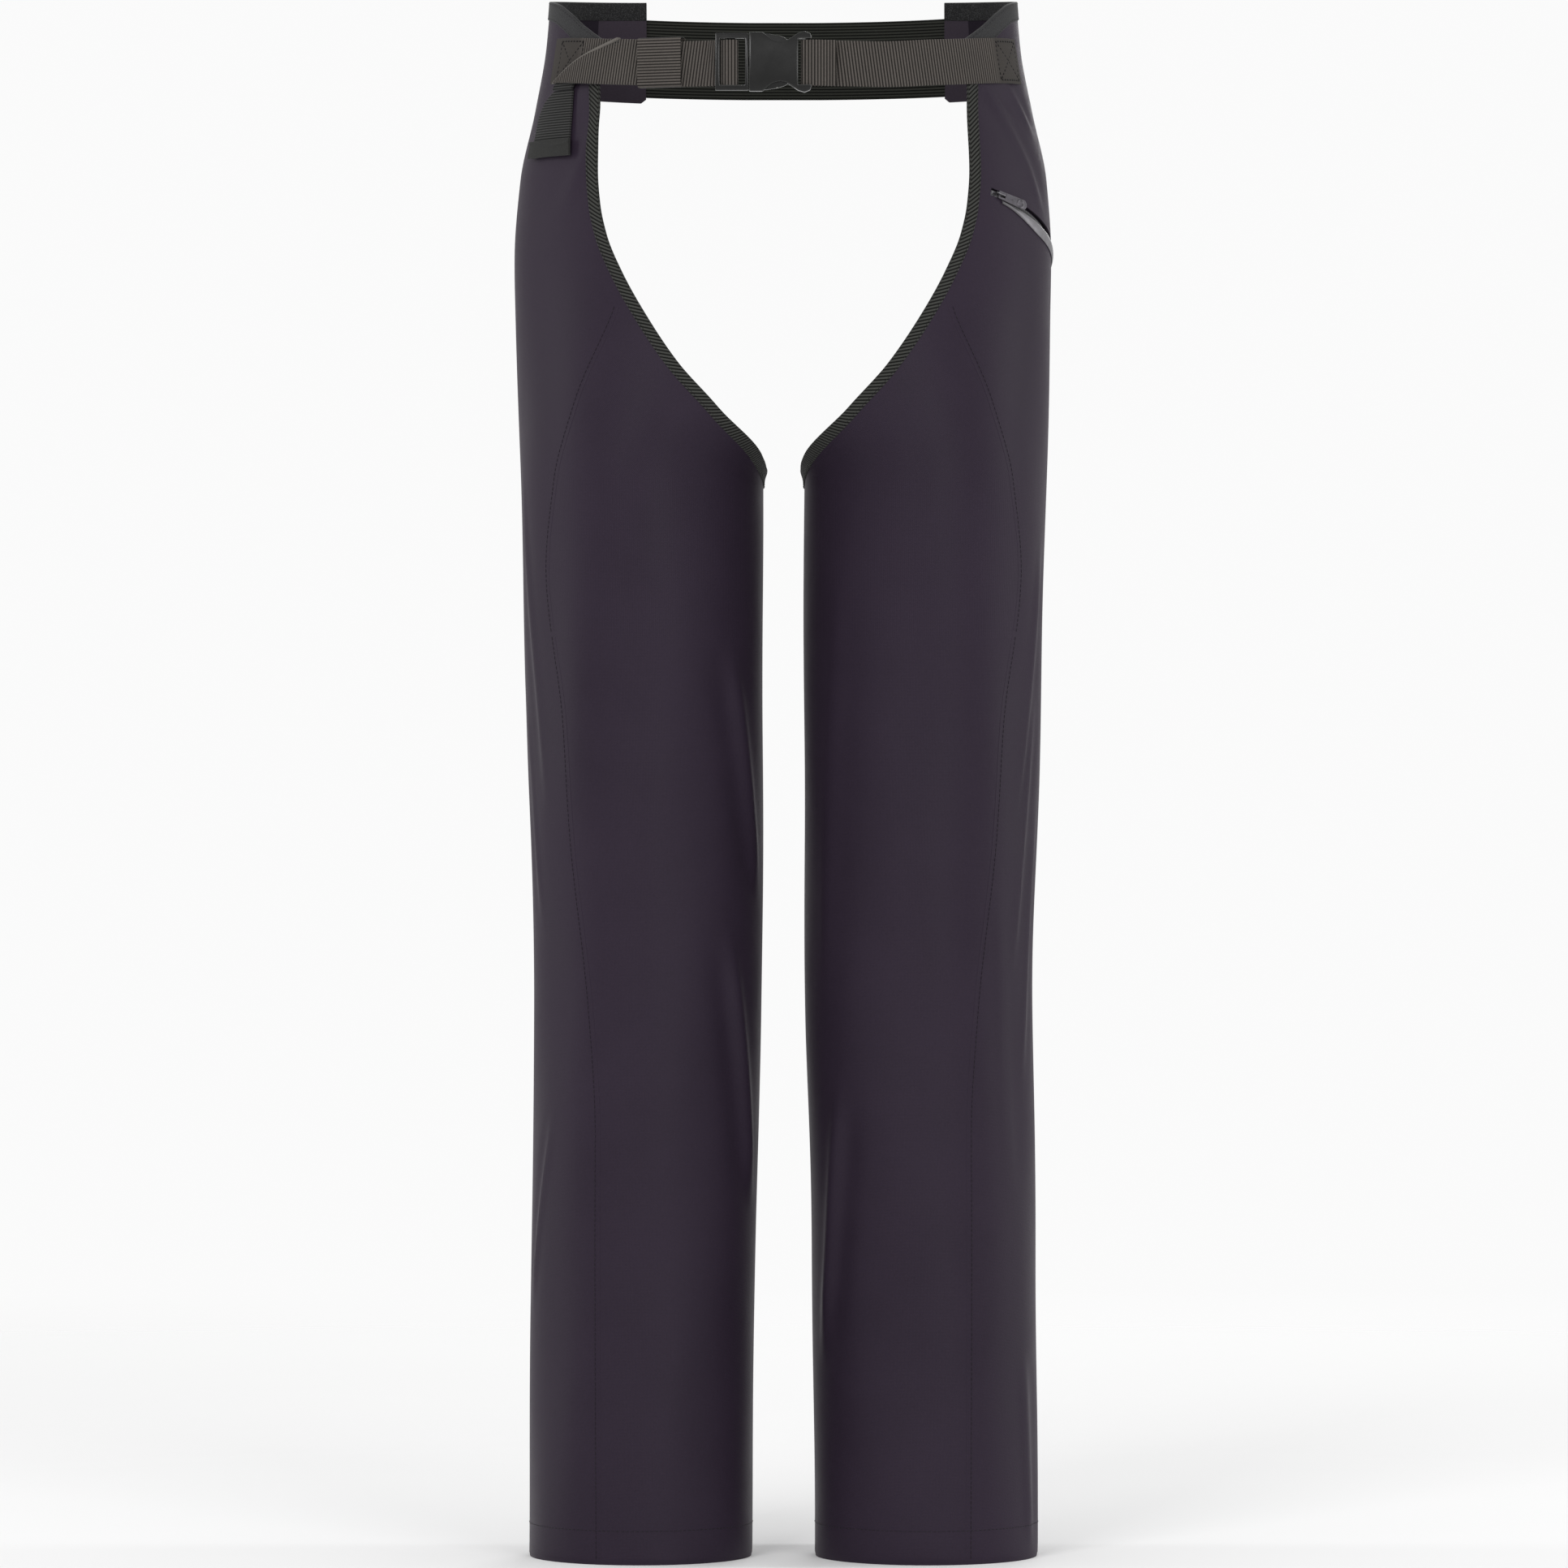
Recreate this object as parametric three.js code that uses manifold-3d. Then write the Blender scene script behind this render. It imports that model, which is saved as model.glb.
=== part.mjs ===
// Protective leg chaps: two full-length leg tubes hung from a waist belt, open at the seat and crotch.
// Millimetres, +Z up. The wearer faces -Y, and +X is the wearer's left.
// The origin is on the floor plane of the two hems, midway between the legs and midway front to back.
import * as THREE from 'three';
import { mergeVertices } from 'three/addons/utils/BufferGeometryUtils.js';
import Module from 'manifold-3d';

const wasm = await Module();
wasm.setup();

// ---------------------------------------------------------------- driving dimensions

// Cross-sections of one leg, from hem to waist. Each is an ellipse that reaches from `inner` to `outer`
// across the body, and `front` and `back` from the mid-plane. Above the crotch the ellipse grows until it
// is the whole waist, and only the part between the two bound edges is fabric.
const LEG_SECTIONS = [
  { z: 0, outer: 165, inner: 20.5, front: 77, back: 78 },
  { z: 200, outer: 163.7, inner: 18.6, front: 79, back: 81 },
  { z: 360, outer: 161.6, inner: 14.3, front: 82, back: 84 },
  { z: 520, outer: 166, inner: 13.5, front: 88, back: 91 },
  { z: 700, outer: 170.6, inner: 13.5, front: 103, back: 107 },
  { z: 750, outer: 172, inner: -25, front: 108, back: 114 },
  { z: 805, outer: 173.4, inner: -90, front: 112, back: 119 },
  { z: 850, outer: 174.5, inner: -120, front: 113, back: 119 },
  { z: 900, outer: 171.6, inner: -142, front: 110, back: 115 },
  { z: 945, outer: 162.4, inner: -150, front: 107, back: 110 },
  { z: 985, outer: 155.3, inner: -152, front: 107, back: 108 },
  { z: 1026, outer: 152, inner: -152, front: 106, back: 107 },
];
// Distance from the centre plane to the bound front edge, from the crotch up to the waist.
const FRONT_EDGE = [
  { z: 703, x: 13.6 },
  { z: 713, x: 11.4 },
  { z: 748, x: 39.5 },
  { z: 776, x: 65.3 },
  { z: 805, x: 86 },
  { z: 836, x: 104 },
  { z: 860, x: 114.5 },
  { z: 880, x: 118.8 },
  { z: 901, x: 120.3 },
  { z: 943, x: 118.8 },
  { z: 990, x: 120 },
];
// The same for the back edge, which stands a little further out and is hidden behind the front one.
const BACK_EDGE = [
  { z: 703, x: 13.6 },
  { z: 713, x: 11.8 },
  { z: 748, x: 42 },
  { z: 776, x: 69 },
  { z: 805, x: 91 },
  { z: 836, x: 112 },
  { z: 860, x: 123 },
  { z: 880, x: 127 },
  { z: 905, x: 129 },
  { z: 940, x: 127 },
  { z: 955, x: 125 },
  { z: 1026, x: 121 },
];
// Height of the waist edge by angle round the body: 0 is the side, negative is towards the front.
const WAIST_EDGE = [
  { angle: -42, z: 985 },
  { angle: -31, z: 998 },
  { angle: -24, z: 1006.5 },
  { angle: -15, z: 1013.5 },
  { angle: 0, z: 1017.5 },
  { angle: 25, z: 1021.5 },
  { angle: 60, z: 1025.5 },
];
// Angle of the seam between the front panel and the back panel, by height.
const LEG_SEAM = [
  { z: 0, angle: -70 },
  { z: 280, angle: -67 },
  { z: 360, angle: -62 },
  { z: 465, angle: -53 },
  { z: 545, angle: -50 },
  { z: 640, angle: -40 },
  { z: 705, angle: -48 },
];

// Thickness of the outer fabric, and the clearance left between two pieces that are sewn together.
const FABRIC = 1.2;
const GAP = 0.35;

// Heights at which the leg is divided: the parts named "fold" are the ones that bend.
const CROTCH_Z = 706;
const HIP_FOLD_TOP = 832;
const KNEE_FOLD_LOW = 355;
const KNEE_FOLD_TOP = 505;
const FOLD_ROWS = 6;
const HIP_ROWS = 6;

const BINDING_WIDTH = 8;
const BINDING_PROUD = 0.4;
const TOP_BINDING = 12;

// The back wings carry the elastic across the seat: how near the centre they reach, and their lower edge.
// The left wing is cut shorter.
const WING_X = { left: 108, right: 92 };
const WING_LOW = 960;

// Layers inside the front of each leg. `outer` and `inner` are depths below the outer surface.
const PAD = { outer: 3.6, inner: 8.6, from: -165, to: -12, low: 60, top: 692 };
const LINING = { outer: 10.2, inner: 11, from: -172, to: -5, beyond: 0.5 };
const HEM_FACING = { outer: 2.4, inner: 3.4, low: 0.8, top: 24 };

// Elastic band: its middle is flat for `facet` each way, and `lap` of it lies on each wing.
const BAND = { low: 962, high: 1012, thickness: 2, off: 0.9, facet: 20, lap: 26, steps: 8 };

// Belt webbing. `layer1` and `layer2` are how far its first and second layers stand off the leg.
const STRAP = { midZ: 969.5, half: 14.7, thickness: 1.6, layer1: 1.7, layer2: 3.7, anchor: -16 };
// From this angle to its sewn end, the strap climbs this much towards the side.
const STRAP_CLIMB = { from: -47, height: 6 };
const FRONT_DEPTH = 107;
const HAIRPIN_RADIUS = 2.6;
// The left strap: where it leaves the leg, the bar it turns round, and its short end in front.
const LEFT_STRAP = {
  leaves: 38,
  bar: 14.5,
  end: [
    [20.5, -113.8],
    [27, -112],
    [31, -110.7],
    [34, -110.7],
  ],
};
// The right strap: the same, with the loop it makes over the plug's frame and the angle where it ends.
const RIGHT_STRAP = {
  leaves: 48,
  bar: -32.3,
  overFrame: [
    [-36, -113.9],
    [-38, -112.4],
    [-39.4, -111.2],
    [-41.5, -110.7],
  ],
  endAngle: -31,
};
const KEEPER = { x: -77.5, length: 30, half: 16.2, wall: 1, inner: -0.8, outer: 7 };
const TAIL = { low: 909, high: 955, from: -38, to: -23.5, off: 1, hemLow: 921 };

// Side-release buckle. x and z are across the front, z from the middle of the strap, y is depth.
const SOCKET = {
  mouth: -22,
  notch: -13.5,
  notchEnd: 7,
  half: 19.8,
  back: -107.6,
  front: -117.4,
  cavityBack: -110.1,
  cavityFront: -114.9,
  cavityHalf: 16.8,
  slotLeft: 9.5,
  slotHalf: 15.5,
  barLeft: 14.8,
  barBack: -110,
  barFront: -112.8,
};
// Upper half of the socket's outline, from its mouth to the ears beside the strap.
const SOCKET_TOP = [
  [SOCKET.mouth, SOCKET.half],
  [SOCKET.notch, SOCKET.half],
  [-10.5, 17.4],
  [-7, 14.6],
  [-1.9, 13.4],
  [2, 14.2],
  [5.3, 16.2],
  [9.5, 19.2],
  [13.6, 20.5],
  [17.2, 18.9],
  [18.2, 16.2],
];
const PLUG = {
  left: -44.6,
  right: -22.4,
  back: -110,
  front: -115.9,
  railInner: 15.6,
  railOuter: 19.2,
  barHalf: 17,
  endBarRight: -40.8,
  endBarBack: -112.9,
  middleBar: { left: -36.1, right: -31.4, back: -110.1, front: -112.7 },
  baseLeft: -24.7,
  bladeLeft: -24,
  bladeRight: 4,
  bladeHalf: 2.5,
  bladeBack: -110.5,
  bladeFront: -114.5,
};
// Outline of the upper spring arm: root, shoulder, rounded head and the inner side of the arm.
const PRONG_TOP = [
  [-21.9, 9.5],
  [-21.9, 12.6],
  [-13.6, 14.4],
  [-13.1, 18.8],
  [-10.9, 18.9],
  [-4, 17.8],
  [1, 16.2],
  [5, 13],
  [6, 10.5],
  [3, 9],
  [-3, 11.5],
  [-12, 10.5],
];

// Zip on the wearer's left hip: three points of its line, and how deep it lies below the fabric.
const ZIP = {
  start: { angle: -42, z: 888 },
  middle: { angle: -16, z: 869 },
  end: { angle: 13, z: 850 },
  inset: 3.4,
};
// Each strip along the zip: from and to are shares of its length, half is half its width.
const ZIP_SLOT = { from: 0.01, to: 0.98, half: 5.6, inside: -6, outside: 7, steps: 12 };
const ZIP_TAPE = { from: 0.015, to: 1, near: 3.4, far: 11.5, half: 0.3, steps: 10 };
const ZIP_COIL = { from: 0.105, to: 0.925, half: 2.5, thick: 0.8, steps: 10 };
const ZIP_STOP = { from: 0.93, to: 0.946, half: 2.6, thick: 1 };
const ZIP_WELT = { low: -13, top: -6.8, outer: -0.95, inner: -0.15 };
const SLIDER = {
  at: 0.07,
  half: 4.8,
  side: 3.9,
  plateIn: 1.3,
  plateOut: 2.2,
  noseEnd: -3.4,
  noseSide: 1.5,
  archIn: 2.4,
  archOut: 3.6,
  archSide: 0.7,
  archLow: 5.9,
  archTop: 6.8,
};
const PULL_TAB = { root: -0.6, rootHalf: 2.7, tip: 19.5, tipHalf: 3.4, low: 4, thickness: 1.2 };
const PULL_TAB_EYE = { from: 0.6, to: 4.8, half: 1.1 };
const POCKET = { from: -36, to: 8, low: 768, frontTop: 866, backTop: 838, outer: 5, inner: 8 };

// How far a cutting block reaches past the piece it cuts, and how much a joined piece runs into the next.
const PAST = 10;
const BITE = 0.2;

// ---------------------------------------------------------------- small tools

const radians = THREE.MathUtils.degToRad;
const lerp = THREE.MathUtils.lerp;

/** A smooth curve through the stations that never overshoots them: the value of `key` at a given `at`. */
function curveThrough(stations, key, at = 'z') {
  const slope = stations.slice(1).map((s, i) => (s[key] - stations[i][key]) / (s[at] - stations[i][at]));
  const tangent = stations.map((s, i) => {
    if (i === 0) return slope[0];
    if (i === stations.length - 1) return slope[i - 1];
    const product = slope[i - 1] * slope[i];
    return product <= 0 ? 0 : (2 * product) / (slope[i - 1] + slope[i]);
  });
  return (place) => {
    const last = stations.length - 2;
    let i = 0;
    while (i < last && place > stations[i + 1][at]) i += 1;
    const span = stations[i + 1][at] - stations[i][at];
    const t = THREE.MathUtils.clamp((place - stations[i][at]) / span, 0, 1);
    const h = 1 - t;
    return (
      stations[i][key] * (1 + 2 * t) * h * h +
      tangent[i] * span * t * h * h +
      stations[i + 1][key] * t * t * (3 - 2 * t) -
      tangent[i + 1] * span * t * t * h
    );
  };
}

const outerAt = curveThrough(LEG_SECTIONS, 'outer');
const innerAt = curveThrough(LEG_SECTIONS, 'inner');
const frontAt = curveThrough(LEG_SECTIONS, 'front');
const backAt = curveThrough(LEG_SECTIONS, 'back');
const waistEdgeAt = curveThrough(WAIST_EDGE, 'z', 'angle');
const seamAt = curveThrough(LEG_SEAM, 'angle');
const frontEdgeX = curveThrough(FRONT_EDGE, 'x');
const backEdgeX = curveThrough(BACK_EDGE, 'x');

/** A point of the left leg's outer surface, moved inwards by `inset`. The angle is 0 at the side. */
function legPoint(angle, z, inset = 0) {
  const centre = (outerAt(z) + innerAt(z)) / 2;
  const half = (outerAt(z) - innerAt(z)) / 2 - inset;
  const turn = radians(angle);
  const depth = (Math.sin(turn) < 0 ? frontAt(z) : backAt(z)) - inset;
  return new THREE.Vector3(centre + half * Math.cos(turn), depth * Math.sin(turn), z);
}

/** The angle, in degrees, at which the section at height z is a distance x from the centre plane. */
function angleAtX(x, z) {
  const centre = (outerAt(z) + innerAt(z)) / 2;
  const half = (outerAt(z) - innerAt(z)) / 2;
  return THREE.MathUtils.radToDeg(Math.acos(THREE.MathUtils.clamp((x - centre) / half, -0.998, 1)));
}

/** How many degrees a width along the surface takes up at this angle and height. */
function degreesFor(width, angle, z) {
  const step = legPoint(angle + 0.5, z).distanceTo(legPoint(angle - 0.5, z));
  return width / step;
}

const frontEdge = (z) => -angleAtX(frontEdgeX(z), z);
const backEdge = (z) => angleAtX(backEdgeX(z), z);

/** Where a strip of this width that lies inside the front or back edge ends. */
const insideFront = (z, width) => frontEdge(z) + degreesFor(width, frontEdge(z), z);
const insideBack = (z, width) => backEdge(z) - degreesFor(width, backEdge(z), z);

/** Turns every face of a closed geometry outwards. */
function facingOut(geometry) {
  const p = geometry.attributes.position;
  const index = geometry.index.array;
  const [a, b, c] = [new THREE.Vector3(), new THREE.Vector3(), new THREE.Vector3()];
  let volume = 0;
  for (let i = 0; i < index.length; i += 3) {
    a.fromBufferAttribute(p, index[i]);
    b.fromBufferAttribute(p, index[i + 1]);
    c.fromBufferAttribute(p, index[i + 2]);
    volume += a.dot(b.cross(c));
  }
  if (volume < 0) {
    for (let i = 0; i < index.length; i += 3) [index[i], index[i + 1]] = [index[i + 1], index[i]];
  }
  geometry.computeVertexNormals();
  return geometry;
}

/** A closed solid through a row of closed outlines. The first half of an outline faces its second half. */
function loft(outlines, loop = false) {
  const size = outlines[0].length;
  const index = [];
  const last = loop ? outlines.length : outlines.length - 1;
  for (let i = 0; i < last; i += 1) {
    const here = i * size;
    const next = ((i + 1) % outlines.length) * size;
    for (let j = 0; j < size; j += 1) {
      const k = (j + 1) % size;
      index.push(here + j, here + k, next + k, here + j, next + k, next + j);
    }
  }
  if (!loop) {
    const end = (outlines.length - 1) * size;
    for (let j = 0; j < size / 2 - 1; j += 1) {
      const [p, q, r, s] = [j, j + 1, size - 2 - j, size - 1 - j];
      index.push(p, r, q, p, s, r);
      index.push(end + p, end + q, end + r, end + p, end + r, end + s);
    }
  }
  const geometry = new THREE.BufferGeometry().setFromPoints(outlines.flat());
  geometry.setIndex(index);
  return facingOut(geometry);
}

/** A sheet of cloth: pointAt(u, v, inset) with u across, v up, and its two faces at two insets. */
function sheet(pointAt, columns, rows, outer, inner, loop = false) {
  const outlines = [];
  for (let i = 0; i < columns + (loop ? 0 : 1); i += 1) {
    const u = i / columns;
    const face = [];
    const back = [];
    for (let j = 0; j <= rows; j += 1) {
      face.push(pointAt(u, j / rows, outer));
      back.unshift(pointAt(u, j / rows, inner));
    }
    outlines.push([...face, ...back]);
  }
  return loft(outlines, loop);
}

/** The direction a strap's face looks at each sample, always on the same side as the strap turns. */
function strapFace(samples, i) {
  const middle = (s) => s.low.clone().add(s.high).multiplyScalar(0.5);
  const before = middle(samples[Math.max(i - 1, 0)]);
  const after = middle(samples[Math.min(i + 1, samples.length - 1)]);
  const along = after.sub(before).setZ(0).normalize();
  return new THREE.Vector3(along.y, -along.x, 0);
}

/** A length of webbing. Each sample has its lower and upper edge, and may state where its face looks. */
function webbing(samples, thickness = STRAP.thickness) {
  return loft(
    samples.map((sample, i) => {
      const half = (sample.face ?? strapFace(samples, i)).clone().multiplyScalar(thickness / 2);
      return [
        sample.low.clone().add(half),
        sample.high.clone().add(half),
        sample.high.clone().sub(half),
        sample.low.clone().sub(half),
      ];
    }),
  );
}

/** The same geometry with its shared corners merged, so that it is one closed body. */
function mergeBare(geometry) {
  const bare = geometry.clone();
  bare.deleteAttribute('normal');
  bare.deleteAttribute('uv');
  return mergeVertices(bare, 1e-4);
}

function toManifold(geometry) {
  const merged = mergeBare(geometry);
  return new wasm.Manifold(
    new wasm.Mesh({
      numProp: 3,
      vertProperties: new Float32Array(merged.attributes.position.array),
      triVerts: new Uint32Array(merged.index.array),
    }),
  );
}

function fromManifold(solid) {
  const mesh = solid.getMesh();
  const geometry = new THREE.BufferGeometry();
  geometry.setAttribute('position', new THREE.BufferAttribute(new Float32Array(mesh.vertProperties), 3));
  geometry.setIndex(new THREE.BufferAttribute(new Uint32Array(mesh.triVerts), 1));
  geometry.computeVertexNormals();
  return geometry;
}

/** A box between two corners. */
function block(x0, x1, y0, y1, z0, z1) {
  const geometry = new THREE.BoxGeometry(Math.abs(x1 - x0), Math.abs(y1 - y0), Math.abs(z1 - z0));
  return geometry.translate((x0 + x1) / 2, (y0 + y1) / 2, (z0 + z1) / 2);
}

/** An outline of [x, z] points, z from the middle of the strap, made solid from y = back to y = front. */
function buckleSlab(points, back, front) {
  const shape = new THREE.Shape(points.map(([x, z]) => new THREE.Vector2(x, z)));
  const geometry = new THREE.ExtrudeGeometry(shape, { depth: back - front, bevelEnabled: false });
  return geometry.rotateX(Math.PI / 2).translate(0, back, STRAP.midZ);
}

/** A box of the buckle between two x, two y, and two heights from the middle of the strap. */
function buckleBlock(x0, x1, y0, y1, z0, z1) {
  return block(x0, x1, y0, y1, STRAP.midZ + z0, STRAP.midZ + z1);
}

/** Several geometries that touch or overlap, as one solid. */
function join(geometries) {
  return geometries.map(toManifold).reduce((all, next) => all.add(next));
}

/** The mirror image across the centre plane, for the other leg. */
function mirrored(geometry) {
  const other = geometry.clone().scale(-1, 1, 1);
  return facingOut(other);
}

const chaps = new THREE.Group();

const look = {
  shell: new THREE.MeshStandardMaterial({ color: 0x332d37, roughness: 0.75, metalness: 0 }),
  binding: new THREE.MeshStandardMaterial({ color: 0x2a2c2a, roughness: 0.85, metalness: 0 }),
  pad: new THREE.MeshStandardMaterial({ color: 0xd8d4c4, roughness: 0.95, metalness: 0 }),
  lining: new THREE.MeshStandardMaterial({ color: 0x26242a, roughness: 0.9, metalness: 0 }),
  elastic: new THREE.MeshStandardMaterial({ color: 0x333330, roughness: 0.9, metalness: 0 }),
  webbing: new THREE.MeshStandardMaterial({ color: 0x46423f, roughness: 0.7, metalness: 0 }),
  plastic: new THREE.MeshStandardMaterial({ color: 0x1e1e1d, roughness: 0.3, metalness: 0 }),
  zip: new THREE.MeshStandardMaterial({ color: 0x1c1c1e, roughness: 0.6, metalness: 0 }),
  zipMetal: new THREE.MeshStandardMaterial({ color: 0x4a494d, roughness: 0.35, metalness: 0.9 }),
  reflective: new THREE.MeshStandardMaterial({ color: 0x8c8a8e, roughness: 0.4, metalness: 0.2 }),
};

function add(name, geometry, material, parent = chaps) {
  const mesh = new THREE.Mesh(geometry, material);
  mesh.name = name;
  parent.add(mesh);
  return mesh;
}

/** Adds a piece of the left leg and its mirror image on the right. */
function addPair(name, geometry, material) {
  add(`left_${name}`, geometry, material);
  add(`right_${name}`, mirrored(geometry), material);
}

// ---------------------------------------------------------------- leg fabric

/** The fabric of the hip, from the top of the hip fold to just under the waist binding. */
function hipPoint(u, v, inset) {
  let angle = 0;
  let z = HIP_FOLD_TOP + GAP;
  for (let pass = 0; pass < 6; pass += 1) {
    z = lerp(HIP_FOLD_TOP + GAP, waistEdgeAt(angle) - TOP_BINDING - GAP, v);
    angle = lerp(insideFront(z, BINDING_WIDTH + GAP), insideBack(z, BINDING_WIDTH + GAP), u);
  }
  return legPoint(angle, z, inset);
}

/** The soft fabric between hip and thigh, open at the crotch. */
function hipFoldPoint(u, v, inset) {
  const z = lerp(CROTCH_Z, HIP_FOLD_TOP, v);
  const edge = BINDING_WIDTH + GAP;
  return legPoint(lerp(insideFront(z, edge), insideBack(z, edge), u), z, inset);
}

/** A panel of a leg tube between two heights, from one angle to another. */
function panelPoint(low, high, fromAngle, toAngle) {
  return (u, v, inset) => {
    const z = lerp(low, high, v);
    return legPoint(lerp(fromAngle(z), toAngle(z), u), z, inset);
  };
}

const inseamFront = (z) => -180 + degreesFor(GAP / 2, 180, z);
const inseamBack = (z) => 180 - degreesFor(GAP / 2, 180, z);
const beforeSeam = (z) => seamAt(z) - degreesFor(GAP / 2, seamAt(z), z);
const afterSeam = (z) => seamAt(z) + degreesFor(GAP / 2, seamAt(z), z);

function tubePoint(low, high) {
  return (u, v, inset) => legPoint(360 * u, lerp(low, high, v), inset);
}

/** The hip panels. The left one has the slot of the zip pocket. */
function buildHipPanels() {
  const hip = sheet(hipPoint, 8, HIP_ROWS, 0, FABRIC);
  const { inside, outside, half } = ZIP_SLOT;
  const slot = zipSweep(inside, outside, -half, half, ZIP_SLOT);
  add('left_hip_panel', fromManifold(toManifold(hip).subtract(toManifold(slot))), look.shell);
  add('right_hip_panel', mirrored(hip), look.shell);
}

/** The fabric of each leg below the hip panels. */
function buildLegPanels() {
  addPair('hip_fold_panel', sheet(hipFoldPoint, 12, FOLD_ROWS, 0, FABRIC), look.shell);
  const spans = [
    ['thigh', KNEE_FOLD_TOP + GAP, CROTCH_Z - GAP],
    ['shin', 0, KNEE_FOLD_LOW - GAP],
  ];
  for (const [name, low, high] of spans) {
    const front = panelPoint(low, high, inseamFront, beforeSeam);
    const back = panelPoint(low, high, afterSeam, inseamBack);
    addPair(`${name}_front_panel`, sheet(front, 8, 4, 0, FABRIC), look.shell);
    addPair(`${name}_back_panel`, sheet(back, 12, 4, 0, FABRIC), look.shell);
  }
  const knee = tubePoint(KNEE_FOLD_LOW, KNEE_FOLD_TOP);
  addPair('knee_fold_panel', sheet(knee, 18, 4, 0, FABRIC, true), look.shell);
  const hem = tubePoint(HEM_FACING.low, HEM_FACING.top);
  addPair('hem_facing', sheet(hem, 18, 1, HEM_FACING.outer, HEM_FACING.inner, true), look.lining);
}

/** The cut-protection pad in three lengths, and the lining that holds it behind the front of the leg. */
function buildProtection() {
  const spans = [
    ['thigh', KNEE_FOLD_TOP + 1, PAD.top],
    ['knee', KNEE_FOLD_LOW + 1, KNEE_FOLD_TOP - 1],
    ['shin', PAD.low, KNEE_FOLD_LOW - 1],
  ];
  const constant = (value) => () => value;
  for (const [name, low, high] of spans) {
    const pad = panelPoint(low, high, constant(PAD.from), constant(PAD.to));
    const [liningLow, liningHigh] = [low - LINING.beyond, high + LINING.beyond];
    const lining = panelPoint(liningLow, liningHigh, constant(LINING.from), constant(LINING.to));
    addPair(`${name}_pad`, sheet(pad, 8, 3, PAD.outer, PAD.inner), look.pad);
    addPair(`${name}_lining`, sheet(lining, 8, 3, LINING.outer, LINING.inner), look.lining);
  }
}

// ---------------------------------------------------------------- bound edges and back wings

/** The heights at which the fabric beside a bound edge has its corners, so that the binding follows them. */
function edgeHeights(u) {
  const heights = [];
  for (let j = 0; j < FOLD_ROWS; j += 1) heights.push(hipFoldPoint(u, j / FOLD_ROWS, 0).z);
  for (let j = 0; j <= HIP_ROWS; j += 1) heights.push(hipPoint(u, j / HIP_ROWS, 0).z);
  return heights;
}

/** The tape on the front edge of each leg, from the crotch up to the waist. */
function frontBindingPoint() {
  const heights = edgeHeights(0);
  const rows = heights.length - 1;
  const pointAt = (u, v, inset) => {
    const z = heights[Math.round(v * rows)];
    const angle = lerp(frontEdge(z), insideFront(z, BINDING_WIDTH), u);
    return legPoint(angle, Math.min(z, waistEdgeAt(angle) - TOP_BINDING - GAP), inset);
  };
  return { pointAt, rows };
}

/** The tape on the back edge of each leg, from the crotch up to the wing. */
function backBindingPoint() {
  const heights = [...edgeHeights(1).filter((z) => z < WING_LOW - 5), WING_LOW - GAP];
  const rows = heights.length - 1;
  const pointAt = (u, v, inset) => {
    const z = heights[Math.round(v * rows)];
    return legPoint(lerp(insideBack(z, BINDING_WIDTH), backEdge(z), u), z, inset);
  };
  return { pointAt, rows };
}

/** The wider tape along the waist edge, from the front corner to the end of the back wing. */
function waistBindingPoint(wingX) {
  const start = frontEdge(WAIST_EDGE[0].z);
  const end = angleAtX(wingX, WAIST_EDGE.at(-1).z);
  return (u, v, inset) => {
    const angle = lerp(start, end, u);
    return legPoint(angle, waistEdgeAt(angle) - TOP_BINDING * (1 - v), inset);
  };
}

/** The back wing, between the back edge and its own straight end. */
function wingPoint(wingX) {
  return (u, v, inset) => {
    let z = WING_LOW;
    let angle = 45;
    for (let pass = 0; pass < 4; pass += 1) {
      z = lerp(WING_LOW, waistEdgeAt(angle) - TOP_BINDING - GAP, v);
      angle = lerp(insideBack(z, BINDING_WIDTH), angleAtX(wingX, z), u);
    }
    return legPoint(angle, z, inset);
  };
}

/** The wing and the waist tape of one leg, made as for the left leg. */
function wingPieces(wingX) {
  const tape = sheet(waistBindingPoint(wingX), 12, 1, -BINDING_PROUD, FABRIC + BINDING_PROUD);
  return { tape, wing: sheet(wingPoint(wingX), 3, 2, 0, FABRIC) };
}

function buildEdges() {
  const inner = FABRIC + BINDING_PROUD;
  const front = frontBindingPoint();
  const back = backBindingPoint();
  addPair('front_binding', sheet(front.pointAt, 1, front.rows, -BINDING_PROUD, inner), look.binding);
  addPair('back_binding', sheet(back.pointAt, 1, back.rows, -BINDING_PROUD, inner), look.binding);
  const left = wingPieces(WING_X.left);
  const right = wingPieces(WING_X.right);
  add('left_waist_binding', left.tape, look.binding);
  add('right_waist_binding', mirrored(right.tape), look.binding);
  add('left_back_wing', left.wing, look.shell);
  add('right_back_wing', mirrored(right.wing), look.shell);
}

// ---------------------------------------------------------------- belt

/** Height of the strap's middle line where it lies on the leg at this angle. */
function strapMiddle(angle) {
  const climb = THREE.MathUtils.smoothstep(angle, STRAP_CLIMB.from, STRAP.anchor);
  return STRAP.midZ + STRAP_CLIMB.height * climb;
}

/** The strap's two edges along the waist, at one distance outside the fabric, between two angles. */
function waistSamples(side, fromAngle, toAngle, offset, steps) {
  return Array.from({ length: steps + 1 }, (_, i) => {
    const angle = lerp(fromAngle, toAngle, i / steps);
    const middle = strapMiddle(angle);
    const low = legPoint(angle, middle - STRAP.half, -offset);
    const high = legPoint(angle, middle + STRAP.half, -offset);
    for (const point of [low, high]) point.x *= side;
    return { low, high };
  });
}

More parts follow.
